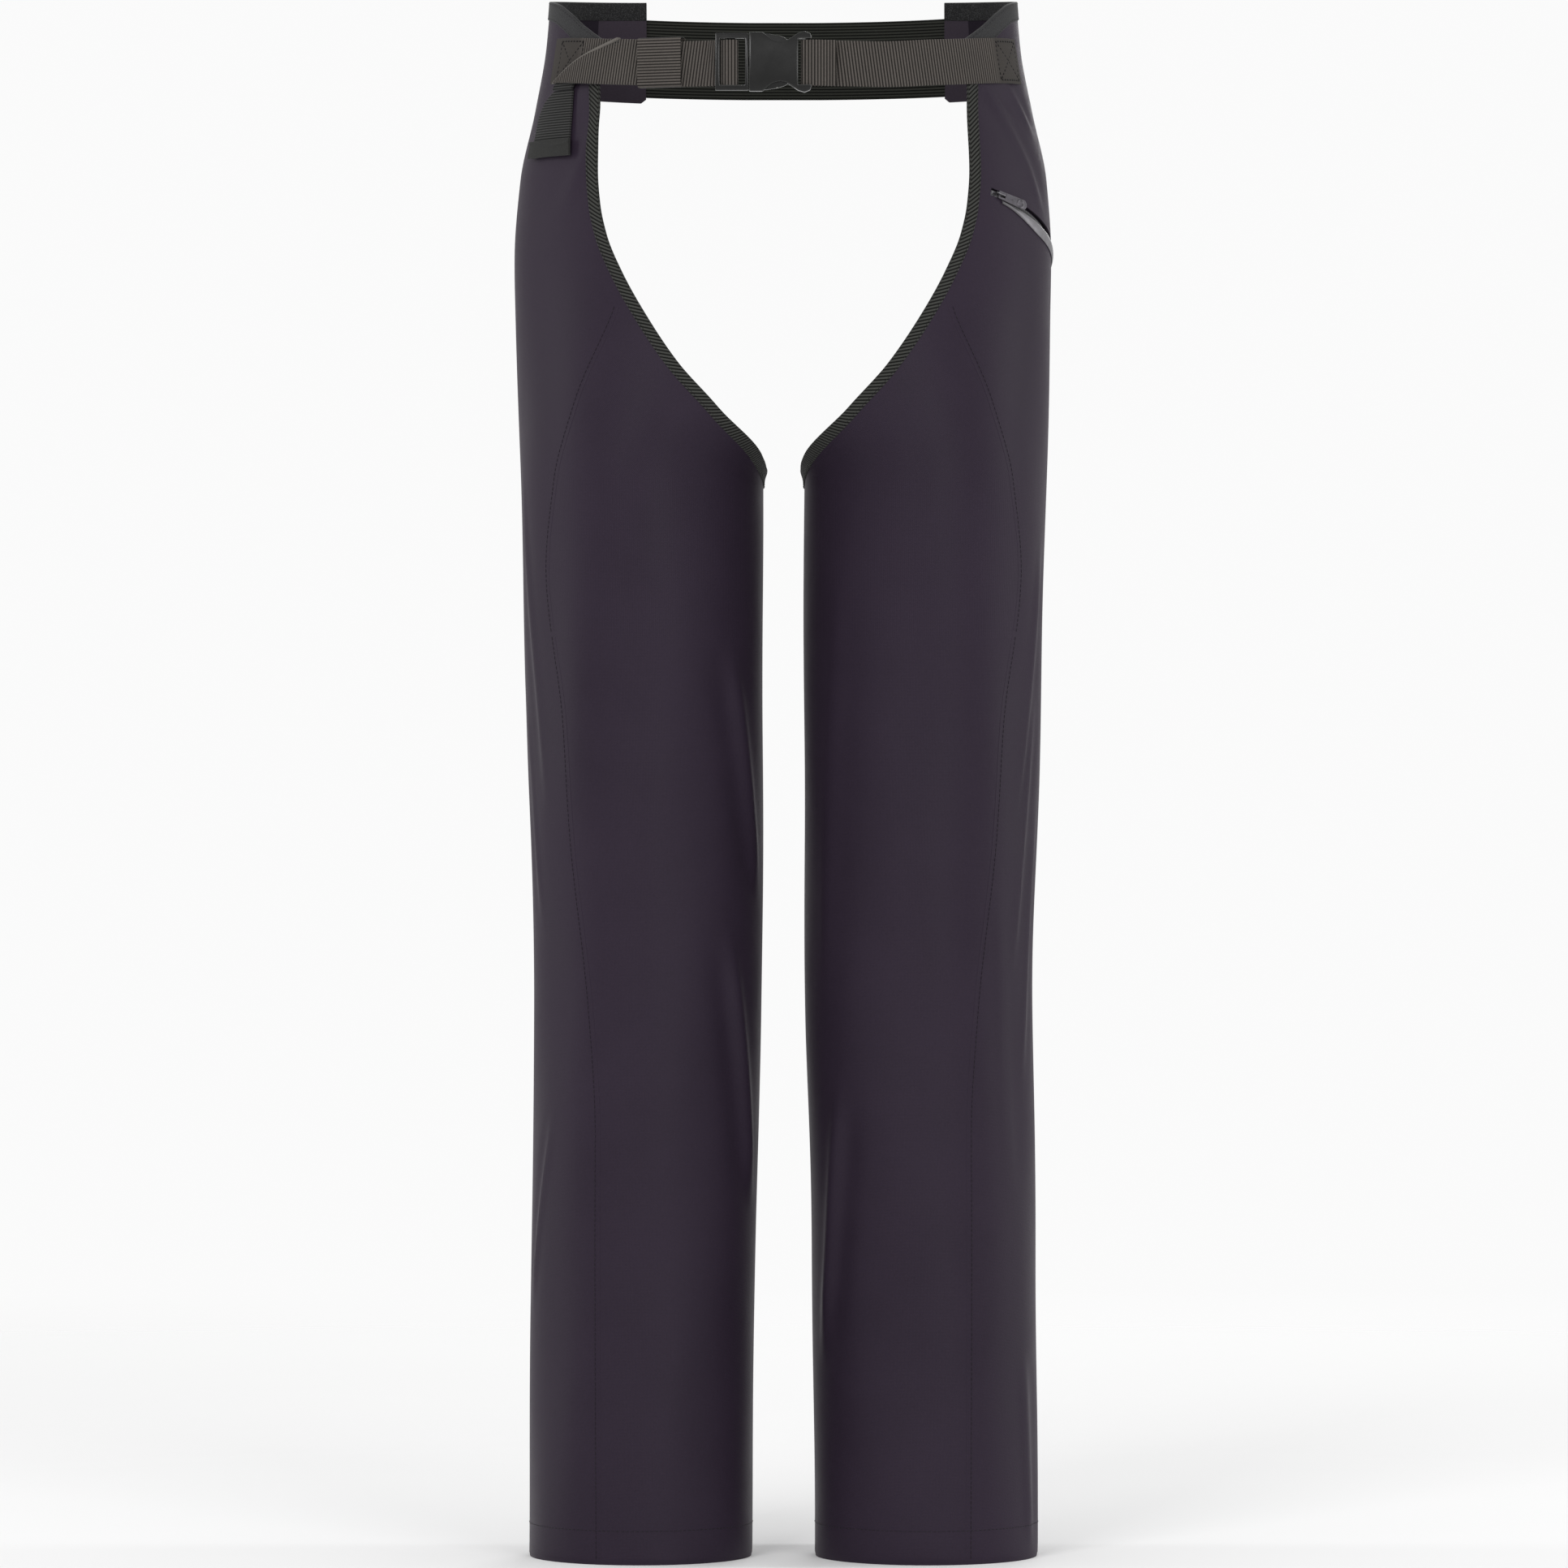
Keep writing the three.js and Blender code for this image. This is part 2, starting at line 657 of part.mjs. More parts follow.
/** The strap's two edges along a plan-view line of [x, y] points. */
function planSamples(points) {
  return points.map(([x, y]) => ({
    low: new THREE.Vector3(x, y, STRAP.midZ - STRAP.half),
    high: new THREE.Vector3(x, y, STRAP.midZ + STRAP.half),
  }));
}

/** Plan-view points of a half-turn from the back layer round a bar to the front layer. */
function hairpin(x, towards) {
  const backY = -(FRONT_DEPTH + STRAP.layer1);
  const steps = 6;
  return Array.from({ length: steps + 1 }, (_, i) => {
    const turn = (Math.PI * i) / steps;
    const across = towards * HAIRPIN_RADIUS * Math.sin(turn);
    return [x + across, backY - HAIRPIN_RADIUS * (1 - Math.cos(turn))];
  });
}

function buildStraps() {
  const socketAngle = -angleAtX(LEFT_STRAP.leaves, STRAP.midZ);
  const left = [
    ...waistSamples(1, STRAP.anchor, socketAngle, STRAP.layer1, 12),
    ...planSamples([...hairpin(LEFT_STRAP.bar, -1), ...LEFT_STRAP.end]),
  ];
  add('left_strap', webbing(left), look.webbing);

  const frameAngle = -angleAtX(RIGHT_STRAP.leaves, STRAP.midZ);
  const right = [
    ...waistSamples(-1, STRAP.anchor, frameAngle, STRAP.layer1, 12),
    ...planSamples([...hairpin(RIGHT_STRAP.bar, 1), ...RIGHT_STRAP.overFrame]),
    ...waistSamples(-1, frameAngle, RIGHT_STRAP.endAngle, STRAP.layer2, 9),
  ];
  add('right_strap', webbing(right), look.webbing);
}

/** The free end of the strap, folded down over the hip, with a doubled hem. */
function buildTail() {
  const layer = (high, off) => {
    const pointAt = (u, v, inset) => {
      return legPoint(lerp(TAIL.from, TAIL.to, u), lerp(TAIL.low, high, v), inset);
    };
    return sheet(pointAt, 4, 2, -(off + STRAP.thickness), -off);
  };
  const flap = join([layer(TAIL.high, TAIL.off), layer(TAIL.hemLow, TAIL.off + 1)]);
  add('strap_tail', mirrored(fromManifold(flap)), look.webbing);
}

/** A flat loop that slides along the doubled strap. */
function buildKeeper() {
  const place = new THREE.Group();
  const angle = -angleAtX(-KEEPER.x, STRAP.midZ);
  const ahead = legPoint(angle + 1, STRAP.midZ);
  const along = ahead.sub(legPoint(angle - 1, STRAP.midZ)).normalize();
  place.position.copy(legPoint(angle, STRAP.midZ));
  place.position.x *= -1;
  place.rotation.z = -Math.atan2(along.y, along.x);
  chaps.add(place);

  const half = KEEPER.length / 2;
  const tall = KEEPER.half - KEEPER.wall;
  const [outer, inner] = [-KEEPER.outer, -KEEPER.inner];
  const outside = block(-half, half, outer, inner + KEEPER.wall, -KEEPER.half, KEEPER.half);
  const inside = block(-half - PAST, half + PAST, outer + KEEPER.wall, inner, -tall, tall);
  const loop = toManifold(outside).subtract(toManifold(inside));
  add('strap_keeper', fromManifold(loop), look.webbing, place);
}

/** The elastic that joins the two back wings. Its middle is flat, and its ends lap outside the wings. */
function buildBackBand() {
  const offset = BAND.off + BAND.thickness / 2;
  const flatY = legPoint(angleAtX(BAND.facet, STRAP.midZ), STRAP.midZ, -offset).y;
  const pointAt = (z, share) => {
    const lap = angleAtX(WING_X.right, z) - degreesFor(BAND.lap, 50, z);
    const point = legPoint(lerp(lap, angleAtX(BAND.facet, z), share), z, -offset);
    point.y = share === 1 ? flatY : Math.min(point.y, flatY);
    return point;
  };
  const left = Array.from({ length: BAND.steps + 1 }, (_, i) => ({
    low: pointAt(BAND.low, i / BAND.steps),
    high: pointAt(BAND.high, i / BAND.steps),
  }));
  left[BAND.steps].face = new THREE.Vector3(0, 1, 0);
  const right = left.map(({ low, high, face }) => ({
    low: low.clone().setX(-low.x),
    high: high.clone().setX(-high.x),
    face,
  }));
  add('back_band', webbing([...left, ...right.reverse()], BAND.thickness), look.elastic);
}

// ---------------------------------------------------------------- buckle

function mirroredBelow(points) {
  return points.map(([x, z]) => [x, -z]).reverse();
}

/** The socket: a flat box open at its mouth, notched for the prongs, with a slot and a bar for the strap. */
function buildSocket() {
  const s = SOCKET;
  const box = toManifold(buckleSlab([...SOCKET_TOP, ...mirroredBelow(SOCKET_TOP)], s.back, s.front));
  const [behind, ahead] = [s.back + PAST, s.front - PAST];
  const cuts = [
    buckleBlock(s.mouth - 1, s.notch + 1, s.cavityBack, s.cavityFront, -s.cavityHalf, s.cavityHalf),
    buckleBlock(s.notch, s.notchEnd, s.cavityBack, s.cavityFront, -s.half - PAST, s.half + PAST),
    buckleBlock(s.slotLeft, s.barLeft, behind, ahead, -s.slotHalf, s.slotHalf),
    buckleBlock(s.slotLeft, s.half + PAST, s.barFront, ahead, -s.slotHalf, s.slotHalf),
    buckleBlock(s.slotLeft, s.half + PAST, s.barBack, behind, -s.slotHalf, s.slotHalf),
  ];
  const socket = cuts.map(toManifold).reduce((left, cut) => left.subtract(cut), box);
  add('buckle_socket', fromManifold(socket), look.plastic);
}

/** The plug's frame: a ladder lock for the strap, with a guide blade that enters the socket. */
function buildPlug() {
  const p = PLUG;
  const bar = p.middleBar;
  const pieces = [
    buckleBlock(p.left, p.right, p.back, p.front, p.railInner, p.railOuter),
    buckleBlock(p.left, p.right, p.back, p.front, -p.railOuter, -p.railInner),
    buckleBlock(p.left, p.endBarRight, p.endBarBack, p.front, -p.barHalf, p.barHalf),
    buckleBlock(bar.left, bar.right, bar.back, bar.front, -p.barHalf, p.barHalf),
    buckleBlock(p.baseLeft, p.right, p.back, p.front, -p.barHalf, p.barHalf),
    buckleBlock(p.bladeLeft, p.bladeRight, p.bladeBack, p.bladeFront, -p.bladeHalf, p.bladeHalf),
  ];
  add('buckle_plug', fromManifold(join(pieces)), look.plastic);
}

/** The two spring arms. Their shoulders sit behind the socket's edges until they are squeezed. */
function buildProngs() {
  const arms = { upper: PRONG_TOP, lower: mirroredBelow(PRONG_TOP) };
  for (const [name, points] of Object.entries(arms)) {
    const arm = mergeBare(buckleSlab(points, PLUG.bladeBack, PLUG.bladeFront));
    add(`buckle_prong_${name}`, facingOut(arm), look.plastic);
  }
}

// ---------------------------------------------------------------- zip pocket on the wearer's left hip

/** The circle through three points: its centre, radius and two directions in its plane. */
function circleThrough(a, b, c) {
  const ab = b.clone().sub(a);
  const ac = c.clone().sub(a);
  const normal = ab.clone().cross(ac);
  const toCentre = normal
    .clone()
    .cross(ab)
    .multiplyScalar(ac.lengthSq())
    .add(ac.clone().cross(normal).multiplyScalar(ab.lengthSq()))
    .divideScalar(2 * normal.lengthSq());
  const centre = a.clone().add(toCentre);
  const axis = normal.normalize();
  if (axis.z < 0) axis.negate();
  const start = a.clone().sub(centre);
  const radius = start.length();
  const along = start.normalize();
  const across = axis.clone().cross(along);
  const end = c.clone().sub(centre);
  const endTurn = Math.atan2(end.dot(across), end.dot(along));
  return { centre, axis, radius, along, across, endTurn };
}

const zipCircle = circleThrough(
  legPoint(ZIP.start.angle, ZIP.start.z, ZIP.inset),
  legPoint(ZIP.middle.angle, ZIP.middle.z, ZIP.inset),
  legPoint(ZIP.end.angle, ZIP.end.z, ZIP.inset),
);

/** A point near the zip: t runs from its closed end to its far end, out is away from the body. */
function zipPoint(t, out, up) {
  const turn = t * zipCircle.endTurn;
  return zipCircle.centre
    .clone()
    .addScaledVector(zipCircle.along, (zipCircle.radius + out) * Math.cos(turn))
    .addScaledVector(zipCircle.across, (zipCircle.radius + out) * Math.sin(turn))
    .addScaledVector(zipCircle.axis, up);
}

/** A strip of rectangular section that follows the zip, over the share of it that `span` states. */
function zipSweep(out0, out1, up0, up1, span) {
  const steps = span.steps ?? 1;
  return loft(
    Array.from({ length: steps + 1 }, (_, i) => {
      const t = lerp(span.from, span.to, i / steps);
      return [zipPoint(t, out1, up0), zipPoint(t, out1, up1), zipPoint(t, out0, up1), zipPoint(t, out0, up0)];
    }),
  );
}

/** The angle round the leg of a point near its surface. */
function angleOf(point) {
  const centre = (outerAt(point.z) + innerAt(point.z)) / 2;
  const half = (outerAt(point.z) - innerAt(point.z)) / 2;
  const depth = point.y < 0 ? frontAt(point.z) : backAt(point.z);
  return THREE.MathUtils.radToDeg(Math.atan2(point.y / depth, (point.x - centre) / half));
}

/** A strip of cloth that follows the zip on the leg's own surface, between two heights above the zip. */
function zipCloth(outer, inner, up0, up1) {
  const { from, to, steps } = ZIP_TAPE;
  return loft(
    Array.from({ length: steps + 1 }, (_, i) => {
      const path = zipPoint(lerp(from, to, i / steps), 0, 0);
      const corner = (up, inset) => legPoint(angleOf(path), path.z + up, inset);
      return [corner(up0, outer), corner(up1, outer), corner(up1, inner), corner(up0, inner)];
    }),
  );
}

/** A group placed on the zip. Its X runs along the zip, its Y up across it, its Z away from the body. */
function zipFrame(t) {
  const turn = t * zipCircle.endTurn;
  const out = zipCircle.along
    .clone()
    .multiplyScalar(Math.cos(turn))
    .addScaledVector(zipCircle.across, Math.sin(turn));
  const forward = zipCircle.axis.clone().cross(out);
  const place = new THREE.Group();
  place.applyMatrix4(new THREE.Matrix4().makeBasis(forward, zipCircle.axis, out));
  place.position.copy(zipPoint(t, 0, 0));
  return place;
}

function buildZip() {
  const { near, far, half } = ZIP_TAPE;
  const [outer, inner] = [ZIP.inset - half, ZIP.inset + half];
  add('zip_tape_upper', zipCloth(outer, inner, near, far), look.zip);
  add('zip_tape_lower', zipCloth(outer, inner, -far, -near), look.zip);
  const coil = zipSweep(-ZIP_COIL.thick, ZIP_COIL.thick, -ZIP_COIL.half, ZIP_COIL.half, ZIP_COIL);
  add('zip_coil', coil, look.zip);
  const stop = zipSweep(-ZIP_STOP.thick, ZIP_STOP.thick, -ZIP_STOP.half, ZIP_STOP.half, ZIP_STOP);
  add('zip_end_stop', stop, look.zipMetal);
  add('zip_welt', zipCloth(ZIP_WELT.outer, ZIP_WELT.inner, ZIP_WELT.low, ZIP_WELT.top), look.reflective);
}

/** The slider: two plates joined by a wedge at its nose, with an arch that holds the pull tab. */
function buildSlider(place) {
  const s = SLIDER;
  const nose = s.plateIn + BITE;
  const foot = s.plateOut - BITE;
  const pieces = [
    block(-s.half, s.half, -s.side, s.side, s.plateIn, s.plateOut),
    block(-s.half, s.half, -s.side, s.side, -s.plateOut, -s.plateIn),
    block(-s.half, s.noseEnd, -s.noseSide, s.noseSide, -nose, nose),
    block(-s.archOut, -s.archIn, -s.archSide, s.archSide, foot, s.archTop),
    block(s.archIn, s.archOut, -s.archSide, s.archSide, foot, s.archTop),
    block(-s.archOut, s.archOut, -s.archSide, s.archSide, s.archLow, s.archTop),
  ];
  add('zip_slider', fromManifold(join(pieces)), look.zipMetal, place);
}

/** The pull tab: a rounded plate with an eye that hangs in the slider's arch. */
function buildPullTab(place) {
  const { root, rootHalf, tip, tipHalf, low, thickness } = PULL_TAB;
  const outline = new THREE.Shape();
  outline.moveTo(root, -rootHalf);
  outline.lineTo(tip, -tipHalf);
  outline.absarc(tip, 0, tipHalf, -Math.PI / 2, Math.PI / 2, false);
  outline.lineTo(root, rootHalf);
  outline.closePath();
  const eye = new THREE.Path();
  eye.moveTo(PULL_TAB_EYE.from, -PULL_TAB_EYE.half);
  eye.lineTo(PULL_TAB_EYE.from, PULL_TAB_EYE.half);
  eye.lineTo(PULL_TAB_EYE.to, PULL_TAB_EYE.half);
  eye.lineTo(PULL_TAB_EYE.to, -PULL_TAB_EYE.half);
  eye.closePath();
  outline.holes.push(eye);
  const options = { depth: thickness, bevelEnabled: false, curveSegments: 8 };
  const plate = new THREE.ExtrudeGeometry(outline, options).translate(0, 0, low);
  add('zip_pull_tab', facingOut(mergeBare(plate)), look.zipMetal, place);
}

/** The flat bag that hangs inside the hip from the zip. */
function buildPocket() {
  const pocketPoint = (u, v, inset) => {
    const top = lerp(POCKET.frontTop, POCKET.backTop, u);
    return legPoint(lerp(POCKET.from, POCKET.to, u), lerp(POCKET.low, top, v), inset);
  };
  add('pocket_bag', sheet(pocketPoint, 5, 2, POCKET.outer, POCKET.inner), look.lining);
}

buildHipPanels();
buildLegPanels();
buildProtection();
buildEdges();
buildStraps();
buildTail();
buildKeeper();
buildBackBand();
buildSocket();
buildPlug();
buildProngs();
buildZip();
const sliderPlace = zipFrame(SLIDER.at);
chaps.add(sliderPlace);
buildSlider(sliderPlace);
buildPullTab(sliderPlace);
buildPocket();

export default chaps;
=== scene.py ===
# Looks of the protective leg chaps: the soft pieces are rebuilt here as draped cloth, webbing and tape
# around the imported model. Lengths in the tables are millimetres; everything made from them is in metres.
# The wearer faces -Y and +X is the wearer's left. Angles round a leg are in degrees: 0 is the outer side,
# -90 the front, 90 the back and 180 the inseam.
import math

import bpy
import numpy as np
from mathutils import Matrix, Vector


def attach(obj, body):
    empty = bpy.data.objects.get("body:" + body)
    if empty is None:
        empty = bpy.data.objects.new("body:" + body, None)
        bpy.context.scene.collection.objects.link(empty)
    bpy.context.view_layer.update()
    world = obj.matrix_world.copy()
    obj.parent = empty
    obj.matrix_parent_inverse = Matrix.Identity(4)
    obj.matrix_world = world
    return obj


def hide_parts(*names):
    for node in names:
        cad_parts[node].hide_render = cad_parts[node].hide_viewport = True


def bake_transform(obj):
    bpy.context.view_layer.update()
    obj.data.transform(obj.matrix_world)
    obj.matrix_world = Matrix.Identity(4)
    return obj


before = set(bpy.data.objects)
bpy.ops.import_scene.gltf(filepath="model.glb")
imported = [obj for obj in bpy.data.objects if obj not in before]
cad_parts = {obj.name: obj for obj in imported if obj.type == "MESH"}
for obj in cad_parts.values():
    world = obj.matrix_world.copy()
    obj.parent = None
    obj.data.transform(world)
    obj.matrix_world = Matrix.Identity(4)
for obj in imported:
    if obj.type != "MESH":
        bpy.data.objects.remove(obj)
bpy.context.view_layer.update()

MM = 0.001
SIDES = {"left": 1, "right": -1}
SHARP = 40  # degrees between faces that look like an edge

# ---------------------------------------------------------------- shape of the legs

# Height, outer side, inner side, front depth and back depth of one leg's section.
LEG_SECTIONS = [
    (0, 166.6, 20.5, 77, 78),
    (200, 165.3, 18.6, 79, 81),
    (360, 163.2, 14.3, 82, 84),
    (520, 167.6, 13.5, 88, 91),
    (700, 172.2, 13.5, 103, 107),
    (750, 173.6, -25, 108, 114),
    (805, 175, -90, 112, 119),
    (850, 176, -120, 113, 119),
    (900, 172.6, -142, 110, 115),
    (945, 162.8, -150, 107, 110),
    (985, 155.5, -152, 107, 108),
    (1026, 152, -152, 106, 107),
]
# Height and distance from the centre plane of the bound edges, from the crotch to the waist.
FRONT_EDGE = [
    (703, 13.6), (713, 11.6), (748, 41.4), (776, 66.8), (805, 86.8), (836, 104.3),
    (860, 114.5), (880, 118.8), (901, 120.3), (943, 118.8), (990, 120),
]
BACK_EDGE = [
    (703, 13.6), (713, 11.8), (748, 42), (776, 69), (805, 91), (836, 112),
    (860, 123), (880, 127), (905, 129), (940, 127), (955, 125), (1026, 121),
]
# Angle and height of the waist edge.
WAIST_EDGE = [(-42, 985), (-31, 998), (-24, 1006.5), (-15, 1013.5), (0, 1017.5), (25, 1021.5), (60, 1025.5)]
# Height and angle of the seam that runs down the front of each leg.
LEG_SEAM = [
    (0, -70), (280, -67), (360, -62), (465, -53), (545, -50), (640, -40),
    (705, -48), (726, -51), (771, -56), (810, -60.5),
]

FABRIC = 1.2
CROTCH_Z = 706
SPLIT_Z = 600
HIP_ROW_Z = 832
WING_X = {1: 108, -1: 92}
BAND_END = 92
WING_LOW = 958
BINDING_WIDTH = 8
TOP_BINDING = 12
CORNER_Z = 985
TOP_TRIM = 1.5  # the fabric stops this far below its waist tape's edge
SWELLS = (0.35, 0.25)  # height of the shell's broad and narrow unevenness

# Soft creases: for each leg, (height, angle) of the two ends, how high and how wide (degrees) it stands.
CREASES = {
    "right": [
        ((585, -139), (440, -160), 3.0, 5.0),
        ((400, -137), (240, -160), 3.2, 5.0),
        ((700, -14), (500, -34), 1.3, 3.2),
        ((560, -10), (420, -26), 1.0, 3.0),
        ((285, -36), (170, -16), 1.4, 3.0),
        ((560, -95), (300, -88), 0.7, 9),
        ((962, -26), (925, -16), 0.9, 3),
        ((948, -48), (880, -38), 0.9, 3.4),
        ((946, -60), (850, -64), 0.8, 4),
    ],
    "left": [
        ((655, -18), (495, -36), 1.6, 3.2),
        ((560, -22), (390, -36), 1.4, 2.8),
        ((480, -14), (320, -27), 1.2, 2.8),
        ((300, -137), (140, -154), 3.0, 5.0),
        ((640, -136), (380, -146), 1.0, 6),
        ((430, -46), (240, -40), 0.8, 5),
        ((130, -30), (10, -22), 1.5, 5),
        ((966, -28), (930, -14), 1.3, 2.4),
        ((960, -36), (880, -17), 1.2, 2.6),
        ((956, -38), (934, -24), 0.8, 2.4),
    ],
}


def curve(stations):
    """A smooth curve through (place, value) stations that never overshoots them, for numbers or arrays."""
    x, y = np.array(stations, float).T
    slope = np.diff(y) / np.diff(x)
    product = slope[:-1] * slope[1:]
    total = slope[:-1] + slope[1:]
    inner = np.where(product > 0, 2 * product / np.where(total == 0, 1, total), 0)
    tangent = np.concatenate([slope[:1], inner, slope[-1:]])

    def value(at):
        i = np.clip(np.searchsorted(x, at, side="right") - 1, 0, len(x) - 2)
        span = x[i + 1] - x[i]
        t = np.clip((at - x[i]) / span, 0, 1)
        h = 1 - t
        ends = y[i] * (1 + 2 * t) * h * h + y[i + 1] * t * t * (3 - 2 * t)
        return ends + span * t * h * (tangent[i] * h - tangent[i + 1] * t)

    return value


outer_at, inner_at, front_at, back_at = (
    curve([(row[0], row[i]) for row in LEG_SECTIONS]) for i in range(1, 5)
)
front_edge_x = curve(FRONT_EDGE)
back_edge_x = curve(BACK_EDGE)
waist_edge = curve(WAIST_EDGE)
seam_angle = curve(LEG_SEAM)


def smooth(t):
    t = np.clip(t, 0, 1)
    return t * t * (3 - 2 * t)


def centre_half(z):
    return (outer_at(z) + inner_at(z)) / 2, (outer_at(z) - inner_at(z)) / 2


def creases(side, angle, z):
    """How far the cloth stands out at each place, in millimetres."""
    out = SWELLS[0] * np.sin(np.radians(angle * 3) + z / 61) * np.sin(z / 83 + 1.3 * side)
    out = out + SWELLS[1] * np.sin(np.radians(angle * 7 + 40 * side) + z / 37)
    name = "left" if side > 0 else "right"
    for (z0, a0), (z1, a1), height, width in CREASES[name]:
        along = np.clip((z0 - z) / (z0 - z1), -1, 2)
        away = (angle - (a0 + (a1 - a0) * along)) / width
        fade = smooth((along + 0.12) / 0.35) * smooth((1.12 - along) / 0.35)
        ridge = np.exp(-(away**2)) - 0.55 * np.exp(-(((away - 1.9) / 1.5) ** 2))
        out = out + height * fade * ridge
    return out * smooth((CORNER_Z - z) / 40) * smooth(z / 12 + 0.2)


def leg(angle, z, out=0.0, side=1, draped=True):
    """Points of a leg's surface in millimetres, moved outwards by `out`."""
    angle, z, out = np.broadcast_arrays(*(np.asarray(values, float) for values in (angle, z, out)))
    if draped:
        out = out + creases(side, angle, z)
    centre, half = centre_half(z)
    turn = np.radians(angle)
    depth = np.where(np.sin(turn) < 0, front_at(z), back_at(z)) + out
    x = centre + (half + out) * np.cos(turn)
    return np.stack([x * side, depth * np.sin(turn), z], -1)


def plain_leg(angle, z, out=0.0, side=1):
    """Points of the leg's surface without its creases."""
    return leg(angle, z, out, side, draped=False)


def angle_of(points, side):
    """The angle round the leg of points near its surface."""
    z = points[..., 2]
    centre, half = centre_half(z)
    depth = np.where(points[..., 1] < 0, front_at(z), back_at(z))
    return np.degrees(np.arctan2(points[..., 1] / depth, (points[..., 0] * side - centre) / half))


def angle_at_x(x, z):
    centre, half = centre_half(z)
    return np.degrees(np.arccos(np.clip((x - centre) / half, -0.998, 1)))


def front_edge(z):
    return -np.where(z < CROTCH_Z, 180, angle_at_x(front_edge_x(z), z))


def back_edge(z):
    return np.where(z < CROTCH_Z, 180, angle_at_x(back_edge_x(z), z))


def degrees_for(width, angle, z):
    step = np.linalg.norm(plain_leg(angle + 0.5, z) - plain_leg(angle - 0.5, z), axis=-1)
    return width / step


# ---------------------------------------------------------------- meshes


def add_object(name, data):
    obj = bpy.data.objects.new(name, data)
    bpy.context.scene.collection.objects.link(obj)
    return obj


def make_object(name, verts, faces, uvs, materials, sharp=SHARP):
    """A mesh object in metres from millimetre points, with a texture map in metres."""
    mesh = bpy.data.meshes.new(name)
    mesh.from_pydata((np.asarray(verts) * MM).tolist(), [], faces)
    layer = mesh.uv_layers.new(name="cloth")
    layer.data.foreach_set("uv", (np.concatenate(uvs) * MM).ravel())
    mesh.polygons.foreach_set("use_smooth", [True] * len(mesh.polygons))
    mesh.set_sharp_from_angle(angle=math.radians(sharp))
    for material in materials:
        mesh.materials.append(material)
    return add_object(name, mesh)


def bake(obj):
    """Turns an object's modifiers into its mesh."""
    settled = obj.evaluated_get(bpy.context.evaluated_depsgraph_get())
    mesh = bpy.data.meshes.new_from_object(settled)
    obj.modifiers.clear()
    obj.data = mesh


def points_of(obj):
    flat = np.empty(len(obj.data.vertices) * 3)
    obj.data.vertices.foreach_get("co", flat)
    return flat.reshape(-1, 3) / MM


def move_points(obj, points):
    obj.data.vertices.foreach_set("co", (points * MM).ravel())
    obj.data.update()


def distance_along(points):
    return np.concatenate([[0], np.cumsum(np.linalg.norm(np.diff(points, axis=0), axis=1))])


def loft(name, rings, materials, loop=False, second=None, along=None):
    """A closed solid through a row of closed outlines of equal, even length.

    The first half of each outline faces its second half. Faces whose place in the outline is in `second`
    get the second material."""
    n, m = rings.shape[:2]
    closed = np.concatenate([rings, rings[:1]]) if loop else rings
    if along is None:
        along = distance_along(closed.mean(axis=1))
    wrapped = np.concatenate([rings, rings[:, :1]], axis=1)
    around = np.linalg.norm(np.diff(wrapped, axis=1), axis=2).mean(axis=0)
    around = np.concatenate([[0], np.cumsum(around)])
    i, j = (a.ravel() for a in np.meshgrid(np.arange(len(closed) - 1), np.arange(m), indexing="ij"))
    i2, j2 = (i + 1) % n, (j + 1) % m
    quads = np.stack([i * m + j, i * m + j2, i2 * m + j2, i2 * m + j], -1)
    corners = [(i, j), (i, j + 1), (i + 1, j + 1), (i + 1, j)]
    uv = np.stack([np.stack([along[a], around[b]], -1) for a, b in corners], 1)
    if not loop:
        k = np.arange(m // 2 - 1)
        cap = np.stack([k, k + 1, m - 2 - k, m - 1 - k], -1)
        quads = np.concatenate([quads, cap[:, ::-1], cap + (n - 1) * m])
        uv = np.concatenate([uv, uv[:1].repeat(2 * len(k), axis=0)])
    points = rings.reshape(-1, 3)
    a, b, c, d = (points[quads[:, q]] for q in range(4))
    volume = (np.cross(a, b) * c).sum() + (np.cross(a, c) * d).sum()
    if volume < 0:
        quads, uv = quads[:, ::-1], uv[:, ::-1]
    obj = make_object(name, points, quads.tolist(), uv.reshape(-1, 1, 2), materials)
    if second is not None:
        index = np.zeros(len(quads), int)
        index[: len(i)] = np.isin(j, list(second))
        obj.data.polygons.foreach_set("material_index", index.tolist())
    return obj


def shell(name, outer, inner, materials, loop=False):
    """A cloth sheet between two grids of points (rows up, columns across). The second material lines it."""
    rings = np.concatenate([outer, inner[::-1]], axis=0).transpose(1, 0, 2)
    rows = len(outer)
    second = range(rows, 2 * rows - 1) if len(materials) > 1 else None
    return loft(name, rings, materials, loop, second=second)


def leg_shell(name, side, angle, z, outer, inner, materials, loop=False, draped=True):
    """A cloth sheet on the leg, its faces `outer` and `inner` millimetres off the shell's outside."""
    faces = (leg(angle, z, out, side, draped) for out in (outer, inner))
    return shell(name, *faces, materials, loop)


def rounded_profile(low, high, inner, outer, corner, steps=3, across=1):
    """A flat outline of (across, out) points with round corners and `across` steps along each long side."""
    turns = np.linspace(0, np.pi / 2, steps + 1)
    top = [(high - corner + corner * np.sin(t), outer - corner + corner * np.cos(t)) for t in turns]
    under = [(high - corner + corner * np.cos(t), inner + corner - corner * np.sin(t)) for t in turns]
    middle = (low + high) / 2
    front = [(2 * middle - w, o) for w, o in reversed(top)]
    back = [(2 * middle - w, o) for w, o in reversed(under)]
    fill = np.linspace(front[-1][0], top[0][0], across + 1)[1:-1]
    half = front + [(w, outer) for w in fill] + top
    other = under + [(w, inner) for w in fill[::-1]] + back
    return np.array(half + other)


